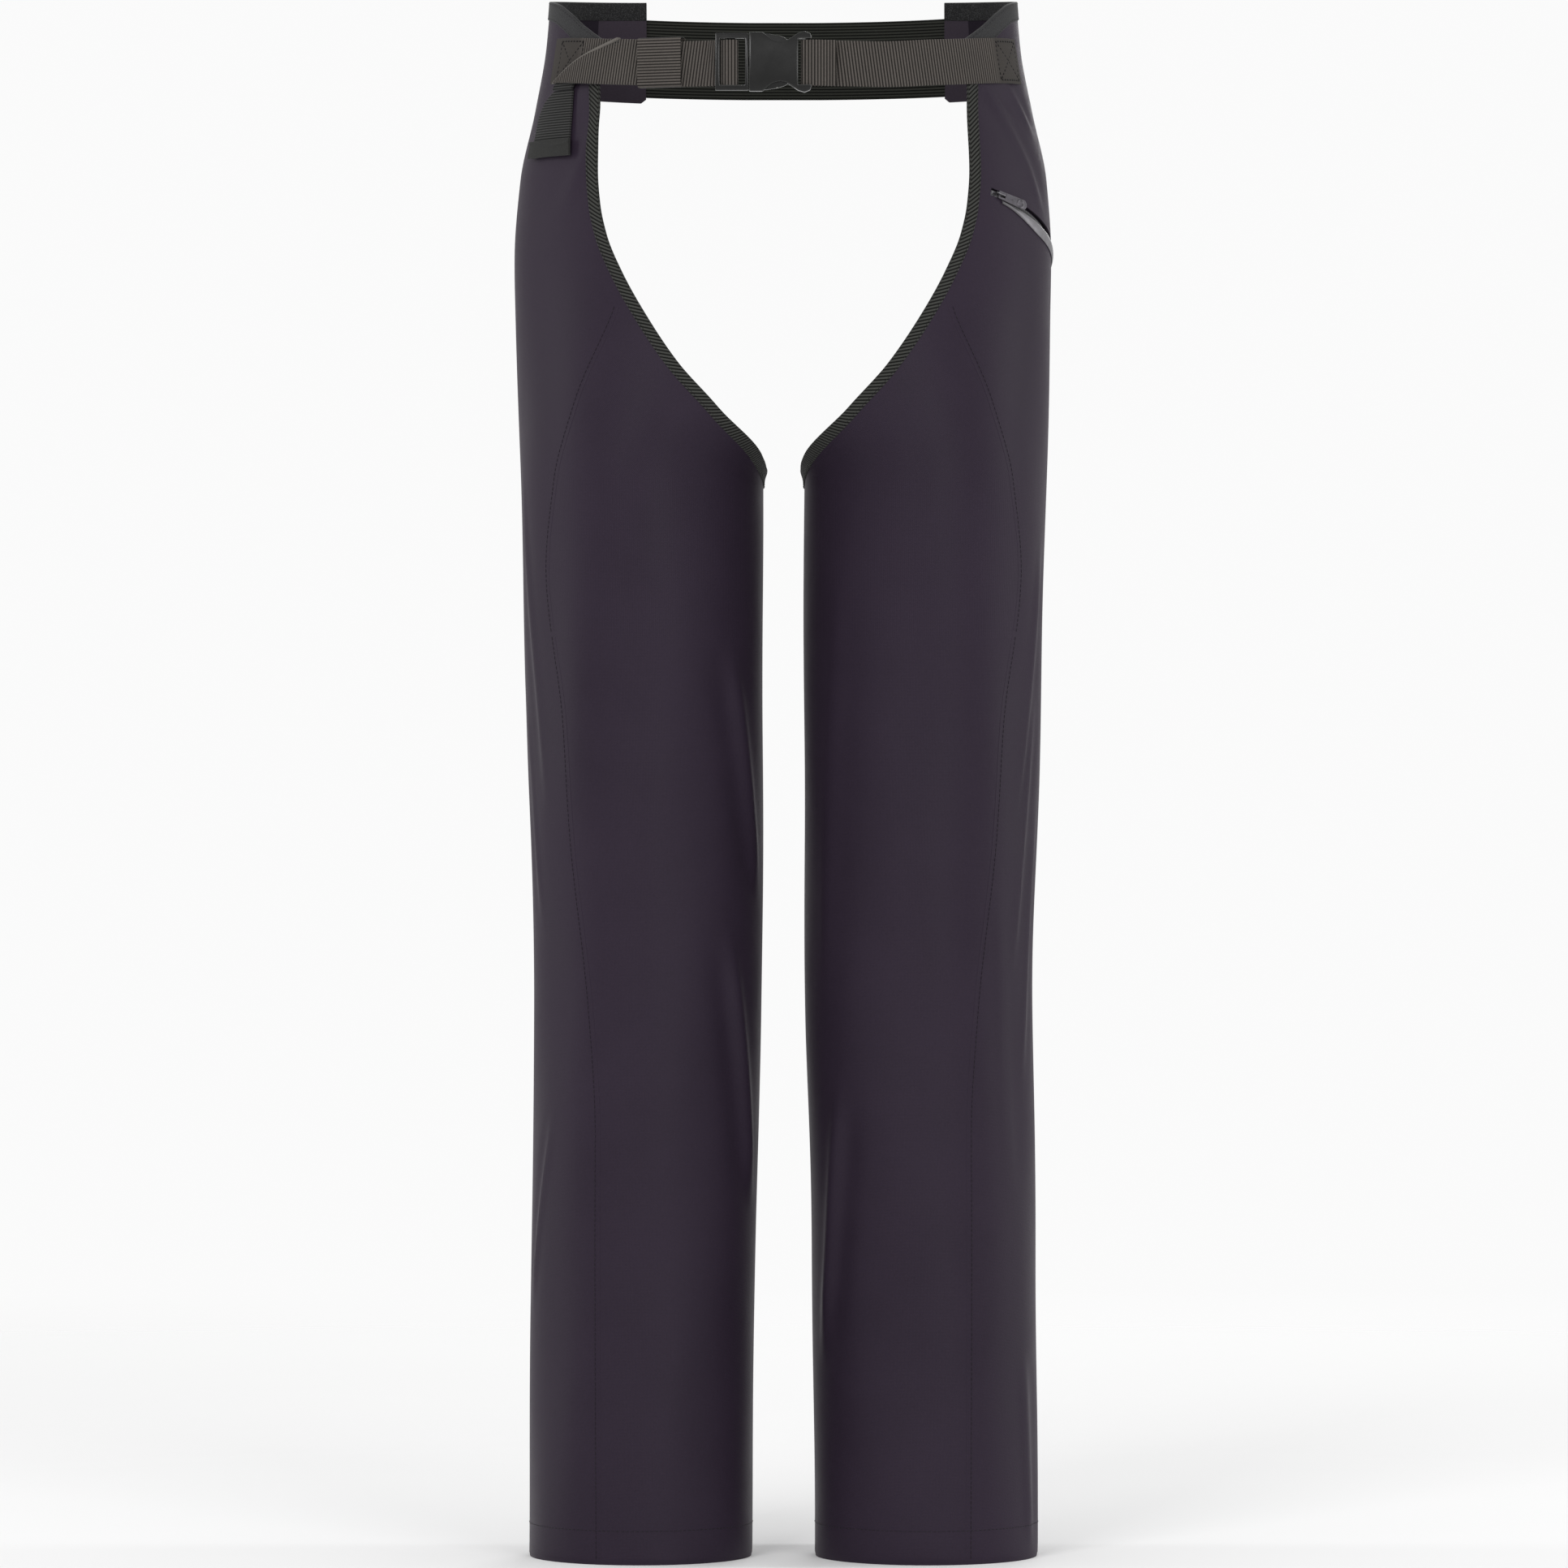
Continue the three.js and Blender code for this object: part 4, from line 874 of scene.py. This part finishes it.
def build_back_band():
    """Ribbed elastic across the seat, lapped outside both wings."""
    off, lap, facet = 1.9, 26, 20
    flat_y = float(plain_leg(angle_at_x(facet, 969.5), 969.5, off)[1])

    def edge(z):
        start = angle_at_x(BAND_END, z) - degrees_for(lap, 50.0, z)
        angles = np.linspace(start, float(angle_at_x(facet, z)), 40)
        points = plain_leg(angles, z, off)
        points[:, 1] = np.minimum(points[:, 1], flat_y)
        return np.concatenate([points, points[::-1] * (-1, 1, 1)])

    across = np.linspace(-1, 1, BAND_RIBS * 6 + 1)
    out = 0.62 + 0.38 * np.abs(np.cos((across + 1) * BAND_RIBS * math.pi / 2))
    out[[0, -1]] = 0.3
    profile = np.concatenate([np.stack([across, out], -1), np.stack([across[::-1], -out[::-1]], -1)])
    obj = upright_band("back_band", edge(BAND_LOW), edge(BAND_HIGH), profile, [band_elastic])
    place(obj, "waist", "elastic_band", "back_band")


# ---------------------------------------------------------------- belt

STRAP_Z = 969.5
STRAP_HALF = 14.7
WEB_HALF = 0.8
RIB = (STRAP_RIB_PITCH, 0.42)
LAYER_1 = 1.7
LAYER_2 = 3.7
STRAP_STEP = 0.4  # spacing of a strap's cross-sections
FRONT_DEPTH = 107
# Angle of the diagonal fold against the share of the strap's height, from its lower to its upper edge.
FOLD = [(0, -25.5), (0.5, -35.0), (1, -48.5)]
RIGHT_ANCHOR = -20
LEFT_ANCHOR = -16
CLIMB_FROM, CLIMB_TO, CLIMB = -66, -16, 6
SAG = 1.5
# Where the straps leave the waist, and the turn of each strap at its end and the way back, seen from above.
LEFT_LEAVES, RIGHT_LEAVES = 38, 48
LEFT_BAR, RIGHT_BAR = 14.5, -32.3
LEFT_RETURN = [(20.5, -113.8), (27, -112), (31, -110.7), (34, -110.7)]
RIGHT_RETURN = [(-36, -113.9), (-38, -112.4), (-39.4, -111.2), (-41.5, -110.7)]
TAIL_TOP, TAIL_LOW, TAIL_HEM = 955, 912, 923
# Height and angle of the tail's two edges.
TAIL_FAR = [(908, -38.6), (923, -36.6), (942, -34.6), (956, -33.4)]
TAIL_NEAR = [(908, -19.6), (920, -18.6), (938, -17.3), (947, -19.2), (956, -25.0)]
fold_angle = curve(FOLD)
tail_far = curve(TAIL_FAR)
tail_near = curve(TAIL_NEAR)


def strap_middle(angle):
    """Height of a strap's middle line: it sags at the buckle and climbs a little towards its sewn end."""
    angle = np.asarray(angle, float)
    climb = CLIMB * smooth((angle - CLIMB_FROM) / (CLIMB_TO - CLIMB_FROM))
    return STRAP_Z + climb - SAG * smooth((-52 - angle) / 18)


def strap_off(angle):
    """How far the first layer's middle lies off the leg: flat where it is sewn down."""
    return 0.95 + (LAYER_1 - 0.95) * smooth((-25 - np.asarray(angle, float)) / 25)


def strap_profile():
    flat = rounded_profile(-STRAP_HALF, STRAP_HALF, -WEB_HALF, WEB_HALF, WEB_HALF * 0.6, steps=2, across=6)
    flat[:, 0] /= STRAP_HALF
    return flat


def waist_edges(side, low_angles, high_angles, off, reach=1.0):
    """The strap's two edges on the leg; `reach` is the share of its height that is still there."""
    low = plain_leg(low_angles, strap_middle(low_angles) - STRAP_HALF, off, side)
    top = strap_middle(high_angles) - STRAP_HALF + 2 * STRAP_HALF * np.asarray(reach)
    return low, plain_leg(high_angles, top, off, side)


def plan_edges(points):
    points = np.asarray(points, float)
    low = np.column_stack([points, np.full(len(points), STRAP_Z - SAG - STRAP_HALF)])
    return low, low + (0, 0, 2 * STRAP_HALF)


def hairpin(x, towards):
    """The strap's turn round a bar at x, seen from above."""
    radius = 2.6
    turn = np.linspace(0, math.pi, 13)
    y = -(FRONT_DEPTH + LAYER_1) - radius * (1 - np.cos(turn))
    return np.stack([x + towards * radius * np.sin(turn), y], -1)


def joined(parts):
    """The two edges of a strap made of several stretches, evenly sampled."""
    low = np.concatenate([p[0] for p in parts])
    high = np.concatenate([p[1] for p in parts])
    both = resample(np.concatenate([low, high], axis=1), STRAP_STEP * math.sqrt(2))
    return both[:, :3], both[:, 3:]


def build_straps():
    """The left strap into the socket, and the right one through the ladder lock and back to its fold."""
    leaves = -float(angle_at_x(LEFT_LEAVES, STRAP_Z))
    angles = np.linspace(LEFT_ANCHOR, leaves, 60)
    left = [
        waist_edges(1, angles, angles, strap_off(angles)),
        plan_edges(np.concatenate([hairpin(LEFT_BAR, -1), LEFT_RETURN])),
    ]
    obj = upright_band("left_strap", *joined(left), strap_profile(), [webbing_cloth], rib=RIB)
    place(obj, "waist", "webbing", "left_strap")

    leaves = -float(angle_at_x(RIGHT_LEAVES, STRAP_Z))
    angles = np.linspace(RIGHT_ANCHOR, leaves, 60)
    upper = np.linspace(leaves, FOLD[0][1] - 0.4, 90)
    heights = np.linspace(0.02, 1, 60)
    reach = np.interp(upper, fold_angle(heights)[::-1], heights[::-1], left=1)
    lift = LAYER_2 + 1.6 * smooth((upper + 49) / 9) + 0.6 * smooth((1 - reach) / 0.5)
    right = [
        waist_edges(-1, angles, angles, strap_off(angles)),
        plan_edges(np.concatenate([hairpin(RIGHT_BAR, 1), RIGHT_RETURN])),
        waist_edges(-1, upper, upper, lift, reach),
    ]
    obj = upright_band("right_strap", *joined(right), strap_profile(), [webbing_cloth], rib=RIB, outward=-1)
    place(
        obj, "waist", "webbing", "right_strap",
        onto="plug", bend={"start": (-0.125, 0, 0), "end": (-0.05, 0, 0)},
    )


def build_tail():
    """The folded part of the strap under the fold, and the tail that hangs over the hip."""
    columns, rows = 30, 30
    share = np.linspace(0, 1, columns)
    top_angle = fold_angle(share) - 0.5
    top_z = strap_middle(top_angle) - STRAP_HALF + 2 * STRAP_HALF * share
    low_angle = tail_near(TAIL_TOP) + (tail_far(TAIL_TOP) - tail_near(TAIL_TOP)) * share
    grow = np.linspace(0, 1, rows)[:, None]
    angle = low_angle + (top_angle - low_angle) * smooth(grow)
    z = TAIL_TOP + 0.5 + (top_z - TAIL_TOP - 0.5) * grow
    off = 2.6 + 1.0 * smooth(grow * 2)
    under = leg_shell("strap_fold", -1, angle, z, off + WEB_HALF, off - WEB_HALF, [tail_cloth], draped=False)
    place(under, "waist", "webbing")

    share = np.linspace(-0.02, 1, 60)
    edge_angle = fold_angle(share)
    edge = np.stack([edge_angle, strap_middle(edge_angle) - STRAP_HALF + 2 * STRAP_HALF * share], -1)
    # the rolled edge wears the lighter webbing colour as a painted highlight
    roll = rounded_profile(-1.0, 1.0, 1.9, 6.3, 0.95, steps=4)
    place(leg_tape("strap_fold_edge", -1, edge, roll, [fold_highlight_cloth], draped=False), "waist", "webbing")

    def layer(name, high_z, off, material, ribbed):
        share = np.linspace(0, 1, 24)
        heights = np.linspace(TAIL_LOW, high_z, int((high_z - TAIL_LOW) / 0.4))
        share, z = np.meshgrid(share, heights)
        angle = tail_far(z) + (tail_near(z) - tail_far(z)) * share
        if ribbed:
            rib = 0.42 * (0.5 - 0.5 * np.cos(2 * np.pi * z / TAIL_RIB_PITCH))
        else:
            angle = angle + 0.8 * (2 * share - 1)
            pucker = (z - TAIL_HEM + 2.4 + 1.6 * np.sin(share * 5)) / 0.9
            rib = -0.5 * np.exp(-(pucker**2)) - 0.1 * np.sin(share * 9)
        obj = leg_shell(name, -1, angle, z, off + 2 * WEB_HALF - rib, off, [material], draped=False)
        place(obj, "strap_end", "webbing", *(["strap_tail"] if ribbed else []))

    layer("strap_tail", TAIL_TOP, 1.0, tail_cloth, True)
    layer("strap_tail_hem", TAIL_HEM, 2.7, tail_hem_cloth, False)


def build_keeper():
    """A loop of webbing round the doubled strap. Its ribs run along the strap."""
    x, half_length, tall = 77.5, 15, 15.7
    angle = -float(angle_at_x(x, STRAP_Z))
    centre = plain_leg(angle, STRAP_Z, 0, -1)
    ahead = plain_leg(angle + 1, STRAP_Z, 0, -1) - plain_leg(angle - 1, STRAP_Z, 0, -1)
    along = unit(ahead * (1, 1, 0)) * -1
    out = np.cross(along, (0, 0, 1.0))
    if out[1] > 0:
        out = -out
    corner = 2.2
    path = rounded_profile(-tall, tall, -1.2, 7.3, corner, steps=6, across=40)
    path = resample(np.concatenate([path, path[:1]]), 0.4)[:-1]
    rings = []
    step = np.gradient(path, axis=0)
    normal = unit(np.stack([-step[:, 1], step[:, 0]], -1))
    section = rounded_profile(-half_length, half_length, -0.5, 0.5, 0.3, steps=2, across=5)
    for (rise, away), (n_rise, n_away) in zip(path, normal):
        ring = []
        for w, o in section:
            rib = 0.25 * (0.5 - 0.5 * math.cos(2 * math.pi * (STRAP_Z + rise) / KEEPER_RIB_PITCH))
            thick = (abs(o) - rib) * (1 if o > 0 else -1)
            point = centre * (1, 1, 0) + along * w + out * (away + thick * n_away)
            ring.append((point[0], point[1], STRAP_Z + rise + thick * n_rise))
        rings.append(ring)
    obj = loft("strap_keeper", np.array(rings), [keeper_cloth], loop=True)
    place(obj, "keeper", "webbing", "strap_keeper")


BOX_STITCH = {"length": 2.4, "gap": 0.6, "radius": 0.45, "lift": 0.15}


def box_stitches(name, side, angle_low, angle_high):
    """A sewn box with a cross in it, on the strap."""
    half = STRAP_HALF - 2.2
    corners = [(angle_low, -half), (angle_high, -half), (angle_high, half), (angle_low, half)]
    corners.append(corners[0])
    lines = [corners, [(angle_low, -half), (angle_high, half)], [(angle_low, half), (angle_high, -half)]]
    for k, line in enumerate(lines):
        dense = resample(np.array(line, float), 0.5)
        height = strap_middle(dense[:, 0]) + dense[:, 1]
        off = strap_off(dense[:, 0]) + WEB_HALF
        points = plain_leg(dense[:, 0], height, off, side)
        normals = unit(plain_leg(dense[:, 0], height, off + 1, side) - points)
        obj = stitches(f"{name}_{k + 1}", points, normals, webbing_thread, **BOX_STITCH)
        place(obj, "waist", "webbing")


# ---------------------------------------------------------------- buckle


def soften(node_name, voxel, rounds):
    """A copy of a CAD piece with evenly rounded edges: voxel size in millimetres, rounds of smoothing."""
    obj = add_object(f"{node_name}_moulded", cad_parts[node_name].data.copy())
    obj.data.materials.clear()
    remesh = obj.modifiers.new("even", "REMESH")
    remesh.mode = "VOXEL"
    remesh.voxel_size = voxel * MM
    relax = obj.modifiers.new("round", "SMOOTH")
    relax.factor = 0.5
    relax.iterations = rounds
    bake(obj)
    obj.data.polygons.foreach_set("use_smooth", [True] * len(obj.data.polygons))
    return obj


BUCKLE_BODIES = {
    "buckle_socket": "waist",
    "buckle_plug": "plug",
    "buckle_prong_upper": "prong_upper",
    "buckle_prong_lower": "prong_lower",
}
BUCKLE_FRONT, BUCKLE_HALF, BUCKLE_CROWN = 117.4, 19.8, 2.4
BUCKLE_HEIGHT, BUCKLE_SAG = 0.955, 0.9
BUCKLE_FACE = 112
FRAME_RAIL, RAIL_WIDTH = -42.3, 0.62


def build_buckle():
    """The four moulded pieces, with rounded edges and a front face that falls away above and below."""
    for node_name, body in BUCKLE_BODIES.items():
        obj = soften(node_name, 0.4, 7)
        points = points_of(obj)
        forward = smooth((-points[:, 1] - BUCKLE_FACE) / (BUCKLE_FRONT - BUCKLE_FACE))
        edge = np.clip(np.abs(points[:, 2] - STRAP_Z) / BUCKLE_HALF, 0, 1)
        points[:, 1] += BUCKLE_CROWN * edge**2.2 * forward
        rail = points[:, 0] < FRAME_RAIL
        points[rail, 0] = FRAME_RAIL + (points[rail, 0] - FRAME_RAIL) * RAIL_WIDTH
        points[:, 2] = STRAP_Z + (points[:, 2] - STRAP_Z) * BUCKLE_HEIGHT - BUCKLE_SAG
        move_points(obj, points)
        obj.data.materials.append(buckle_plastic)
        place(obj, body, "buckle_plastic", node_name)


# ---------------------------------------------------------------- zip pocket

ZIP_POINTS = [(-42, 888), (-16, 869), (13, 850)]
ZIP_INSET = 3.4


def circle_through(a, b, c):
    """Centre, axis (upwards), radius, and two directions of the circle's plane, with the angle of c."""
    ab, ac = b - a, c - a
    normal = np.cross(ab, ac)
    reach = np.cross(normal, ab) * ac.dot(ac) + np.cross(ac, normal) * ab.dot(ab)
    centre = a + reach / (2 * normal.dot(normal))
    axis = unit(normal) * math.copysign(1, normal[2])
    along = unit(a - centre)
    across = np.cross(axis, along)
    end = c - centre
    radius = float(np.linalg.norm(a - centre))
    return centre, axis, radius, along, across, math.atan2(end @ across, end @ along)


zip_centre, zip_axis, zip_radius, zip_along, zip_across, zip_turn = circle_through(
    *(plain_leg(a, z, -ZIP_INSET) for a, z in ZIP_POINTS)
)


def zip_point(share, out, up):
    turn = np.asarray(share) * zip_turn
    radial = np.cos(turn)[..., None] * zip_along + np.sin(turn)[..., None] * zip_across
    out, up = np.asarray(out)[..., None], np.asarray(up)[..., None]
    return zip_centre + radial * (zip_radius + out) + zip_axis * up


def zip_strip(name, profile, start, end, steps, materials):
    """A strip whose profile of (up, out) points follows the zip."""
    share = np.linspace(start, end, steps)[:, None]
    rings = zip_point(share, profile[None, :, 1] + 0 * share, profile[None, :, 0] + 0 * share)
    return loft(name, rings, materials)


def zip_cloth_strip(name, up_low, up_high, inner, outer, materials, start=0.015, bulge=0.0, taper=0.0):
    """A strip beside the zip. With a taper, its lower edge starts close to the upper and widens."""
    share = np.linspace(start, 1, 90)
    path = zip_point(share, np.zeros(90), np.zeros(90))
    angle = angle_of(path, 1)
    corner = min(0.3, (outer - inner) * 0.45)
    profile = rounded_profile(up_low, up_high, inner, outer, corner, steps=2, across=6)
    middle = (up_low + up_high) / 2
    crown = bulge * (1 - ((profile[:, 0] - middle) / ((up_high - up_low) / 2)) ** 2)
    wide = 0.25 + 0.75 * smooth((share - start) / taper) if taper else np.ones(90)
    up = up_high + (profile[None, :, 0] - up_high) * wide[:, None]
    rings = leg(angle[:, None], path[:, 2:3] + up, (profile[:, 1] + crown)[None, :], 1)
    return loft(name, rings, materials)


ZIP_SLOT_HALF = 2.5
ZIP_COIL_FROM, ZIP_COIL_TO, ZIP_TEETH = 0.105, 0.925, 60
SLIDER_AT, SLIDER_NARROWER = 0.07, 0.4
TAB_HOLE_IN, TAB_HOLE_RADIUS, TAB_RIM, TAB_TILT = 5.4, 2.3, 0.32, 0.9


def cut_zip_slot(obj):
    """Opens the slot that the zip closes."""
    half = ZIP_SLOT_HALF
    box = np.array([(-half, -7), (-half, 8), (half, 8), (half, -7)], float)
    cutter = zip_strip("zip_slot_cutter", box, 0.01, 0.98, 90, [])
    cut = obj.modifiers.new("zip_slot", "BOOLEAN")
    cut.operation = "DIFFERENCE"
    cut.solver = "EXACT"
    cut.object = cutter
    bake(obj)
    bpy.data.objects.remove(cutter)
    obj.data.set_sharp_from_angle(angle=math.radians(SHARP))


def build_zip():
    """Tapes, reflective welt, coil, end stop and slider, all along the zip's arc."""
    for name, low, high in (("zip_tape_upper", 1.9, 11.5), ("zip_tape_lower", -11.5, -1.9)):
        place(zip_cloth_strip(name, low, high, -3.7, -3.1, [zip_cloth]), "waist", "zip_tape", name)
    welt = zip_cloth_strip(
        "zip_welt", -11.2, -3.1, 0.1, 0.8, [reflective_tape], start=0.07, bulge=0.6, taper=0.35
    )
    place(welt, "waist", "reflective_tape", "zip_welt")
    coil = rounded_profile(-1.7, 1.7, -0.8, 0.8, 0.5, steps=3, across=6)
    steps = 700
    share = np.linspace(ZIP_COIL_FROM, ZIP_COIL_TO, steps)[:, None]
    ridge = 0.55 + 0.45 * np.abs(np.sin(np.linspace(0, ZIP_TEETH * math.pi, steps)))[:, None]
    up = coil[None, :, 0]
    groove = 1 - 0.6 * np.exp(-((up / 0.5) ** 2))
    rings = zip_point(share, coil[None, :, 1] * ridge * groove, up + 0 * share)
    place(loft("zip_coil", rings, [zip_plastic]), "waist", "zip_coil", "zip_coil")
    stop = rounded_profile(-2.6, 2.6, -1, 1, 0.4, steps=3, across=3)
    place(zip_strip("zip_end_stop", stop, 0.93, 0.946, 4, [zip_metal]), "waist", "zip_metal", "zip_end_stop")
    build_slider()


def build_slider():
    """The slider, and its pull tab with a round dent near the tip."""
    body = soften("zip_slider", 0.22, 5)
    points = points_of(body)
    side_step = (points - zip_centre) @ zip_axis
    points -= zip_axis * (SLIDER_NARROWER * side_step)[:, None]
    move_points(body, points)
    body.data.materials.append(slider_metal)
    place(body, "slider", "zip_metal", "zip_slider")
    tab = soften("zip_pull_tab", 0.2, 3)
    points = points_of(tab)
    turn = SLIDER_AT * zip_turn
    away = math.cos(turn) * zip_along + math.sin(turn) * zip_across
    along = np.cross(zip_axis, away)
    depth = points @ away
    length = points @ along
    height = points @ zip_axis
    tip = length.max() if abs(length.max() - zip_point(SLIDER_AT, 0, 0) @ along) > 10 else length.min()
    inward = math.copysign(1, length.mean() - tip)
    middle = (tip + inward * TAB_HOLE_IN, (height.min() + height.max()) / 2)
    far = np.hypot(length - middle[0], height - middle[1])
    outside = smooth((depth - depth.min()) / (depth.max() - depth.min()) * 2 - 1)
    dent = np.exp(-(((far - TAB_HOLE_RADIUS) / 0.45) ** 2))
    towards_tip = 1 - np.abs(length - tip) / (length.max() - length.min())
    points += away * (TAB_RIM * dent * outside + TAB_TILT * towards_tip)[:, None]
    move_points(tab, points)
    tab.data.materials.append(zip_metal)
    place(tab, "pull_tab", "zip_metal", "zip_pull_tab")


def build_pocket():
    """The bag behind the zip, hanging in soft folds."""
    bag = soften("pocket_bag", 1.2, 4)
    points = points_of(bag)
    points[:, 1] += 0.5 * np.sin(points[:, 0] / 6 + points[:, 2] / 15)
    move_points(bag, points)
    bag.data.materials.append(lining_cloth)
    place(bag, "waist", "lining_fabric", "pocket_bag")


for side_name, side in SIDES.items():
    build_leg_fabric(side_name, side)
    build_protection(side_name, side)
    build_seams(side_name, side)
    build_bindings(side_name, side)
    build_wing(side_name, side)
build_back_band()
build_straps()
build_tail()
build_keeper()
box_stitches("left_anchor_stitches", 1, LEFT_ANCHOR - 1.5, LEFT_ANCHOR - 13)
box_stitches("right_anchor_stitches", -1, RIGHT_ANCHOR - 4, RIGHT_ANCHOR - 15)
build_buckle()
build_zip()
build_pocket()


# ---------------------------------------------------------------- floor, light and camera

FLOOR_RADIUS = 3.4
BACKDROP = 0.96
WORLD_LIGHT = 0.68


def build_stage():
    """A pale round floor that fades out into the backdrop."""
    look = Look("stage_paper")
    tone = look.noise(2.0, 2)
    look.finish(look.mix(tone, (0.83, 0.83, 0.83, 1), (0.85, 0.85, 0.85, 1)), 0.9)
    far = look.add("ShaderNodeVectorMath", {"operation": "LENGTH"})
    look.put(far.inputs[0], look.object_place)
    clear = look.add("ShaderNodeBsdfTransparent")
    blend = look.add("ShaderNodeMixShader")
    look.put(blend.inputs[0], look.spread(far.outputs["Value"], 0.9, FLOOR_RADIUS * 0.85))
    look.put(blend.inputs[1], look.surface.outputs[0])
    look.put(blend.inputs[2], clear.outputs[0])
    look.put(look.tree.nodes["Material Output"].inputs["Surface"], blend.outputs[0])
    turns = np.linspace(0, 2 * math.pi, 96, endpoint=False)
    radius = FLOOR_RADIUS / MM
    verts = [(radius * math.cos(t), radius * math.sin(t), 0) for t in turns]
    face = tuple(range(len(verts)))
    obj = make_object("stage", verts, [face], [np.zeros((len(verts), 2))], [look.material])


LIGHT_TARGET = Vector((0, 0, 0.55))


def area_light(name, place_at, size, power):
    light = bpy.data.lights.new(name, "AREA")
    light.shape = "RECTANGLE"
    light.size, light.size_y = size
    light.energy = power
    obj = add_object(name, light)
    obj.location = place_at
    obj.rotation_euler = (LIGHT_TARGET - Vector(place_at)).to_track_quat("-Z", "Y").to_euler()


def build_light():
    """Even light from all round, a key and a fill in front, and a plain backdrop for the camera alone."""
    world = bpy.data.worlds.new("studio")
    world.use_nodes = True
    tree = world.node_tree
    light = tree.nodes["Background"]
    light.inputs["Color"].default_value = (1, 1, 1, 1)
    light.inputs["Strength"].default_value = WORLD_LIGHT
    seen = tree.nodes.new("ShaderNodeBackground")
    seen.inputs["Color"].default_value = (BACKDROP, BACKDROP, BACKDROP, 1)
    choose = tree.nodes.new("ShaderNodeMixShader")
    tree.links.new(tree.nodes.new("ShaderNodeLightPath").outputs["Is Camera Ray"], choose.inputs[0])
    tree.links.new(light.outputs[0], choose.inputs[1])
    tree.links.new(seen.outputs[0], choose.inputs[2])
    tree.links.new(choose.outputs[0], tree.nodes["World Output"].inputs["Surface"])
    bpy.context.scene.world = world
    area_light("key", (-1.4, -3.6, 2.2), (1.4, 1.4), 66)
    area_light("fill", (1.6, -3.6, 1.2), (1.6, 2.0), 50)
    area_light("strip", (-0.95, -4.2, 1.3), (0.14, 0.7), 2.5)
    area_light("back", (0.8, 3.8, 2.2), (1.6, 1.6), 40)
    area_light("rim_left", (-2.8, 0.2, 1.0), (0.5, 2.4), 24)
    area_light("rim_right", (2.8, 0.2, 1.0), (0.5, 2.4), 24)


def build_camera():
    """Level with the middle of the garment and far enough away for a flat, catalogue-like view."""
    data = bpy.data.cameras.new("camera")
    data.lens = 192.7
    data.sensor_width = 36
    camera = add_object("camera", data)
    camera.location = (0.0004, -5.5, 0.505)
    camera.rotation_euler = (math.pi / 2, 0, 0)
    bpy.context.scene.camera = camera


build_stage()
build_light()
build_camera()
bpy.context.scene.view_settings.view_transform = "Standard"
bpy.context.view_layer.update()
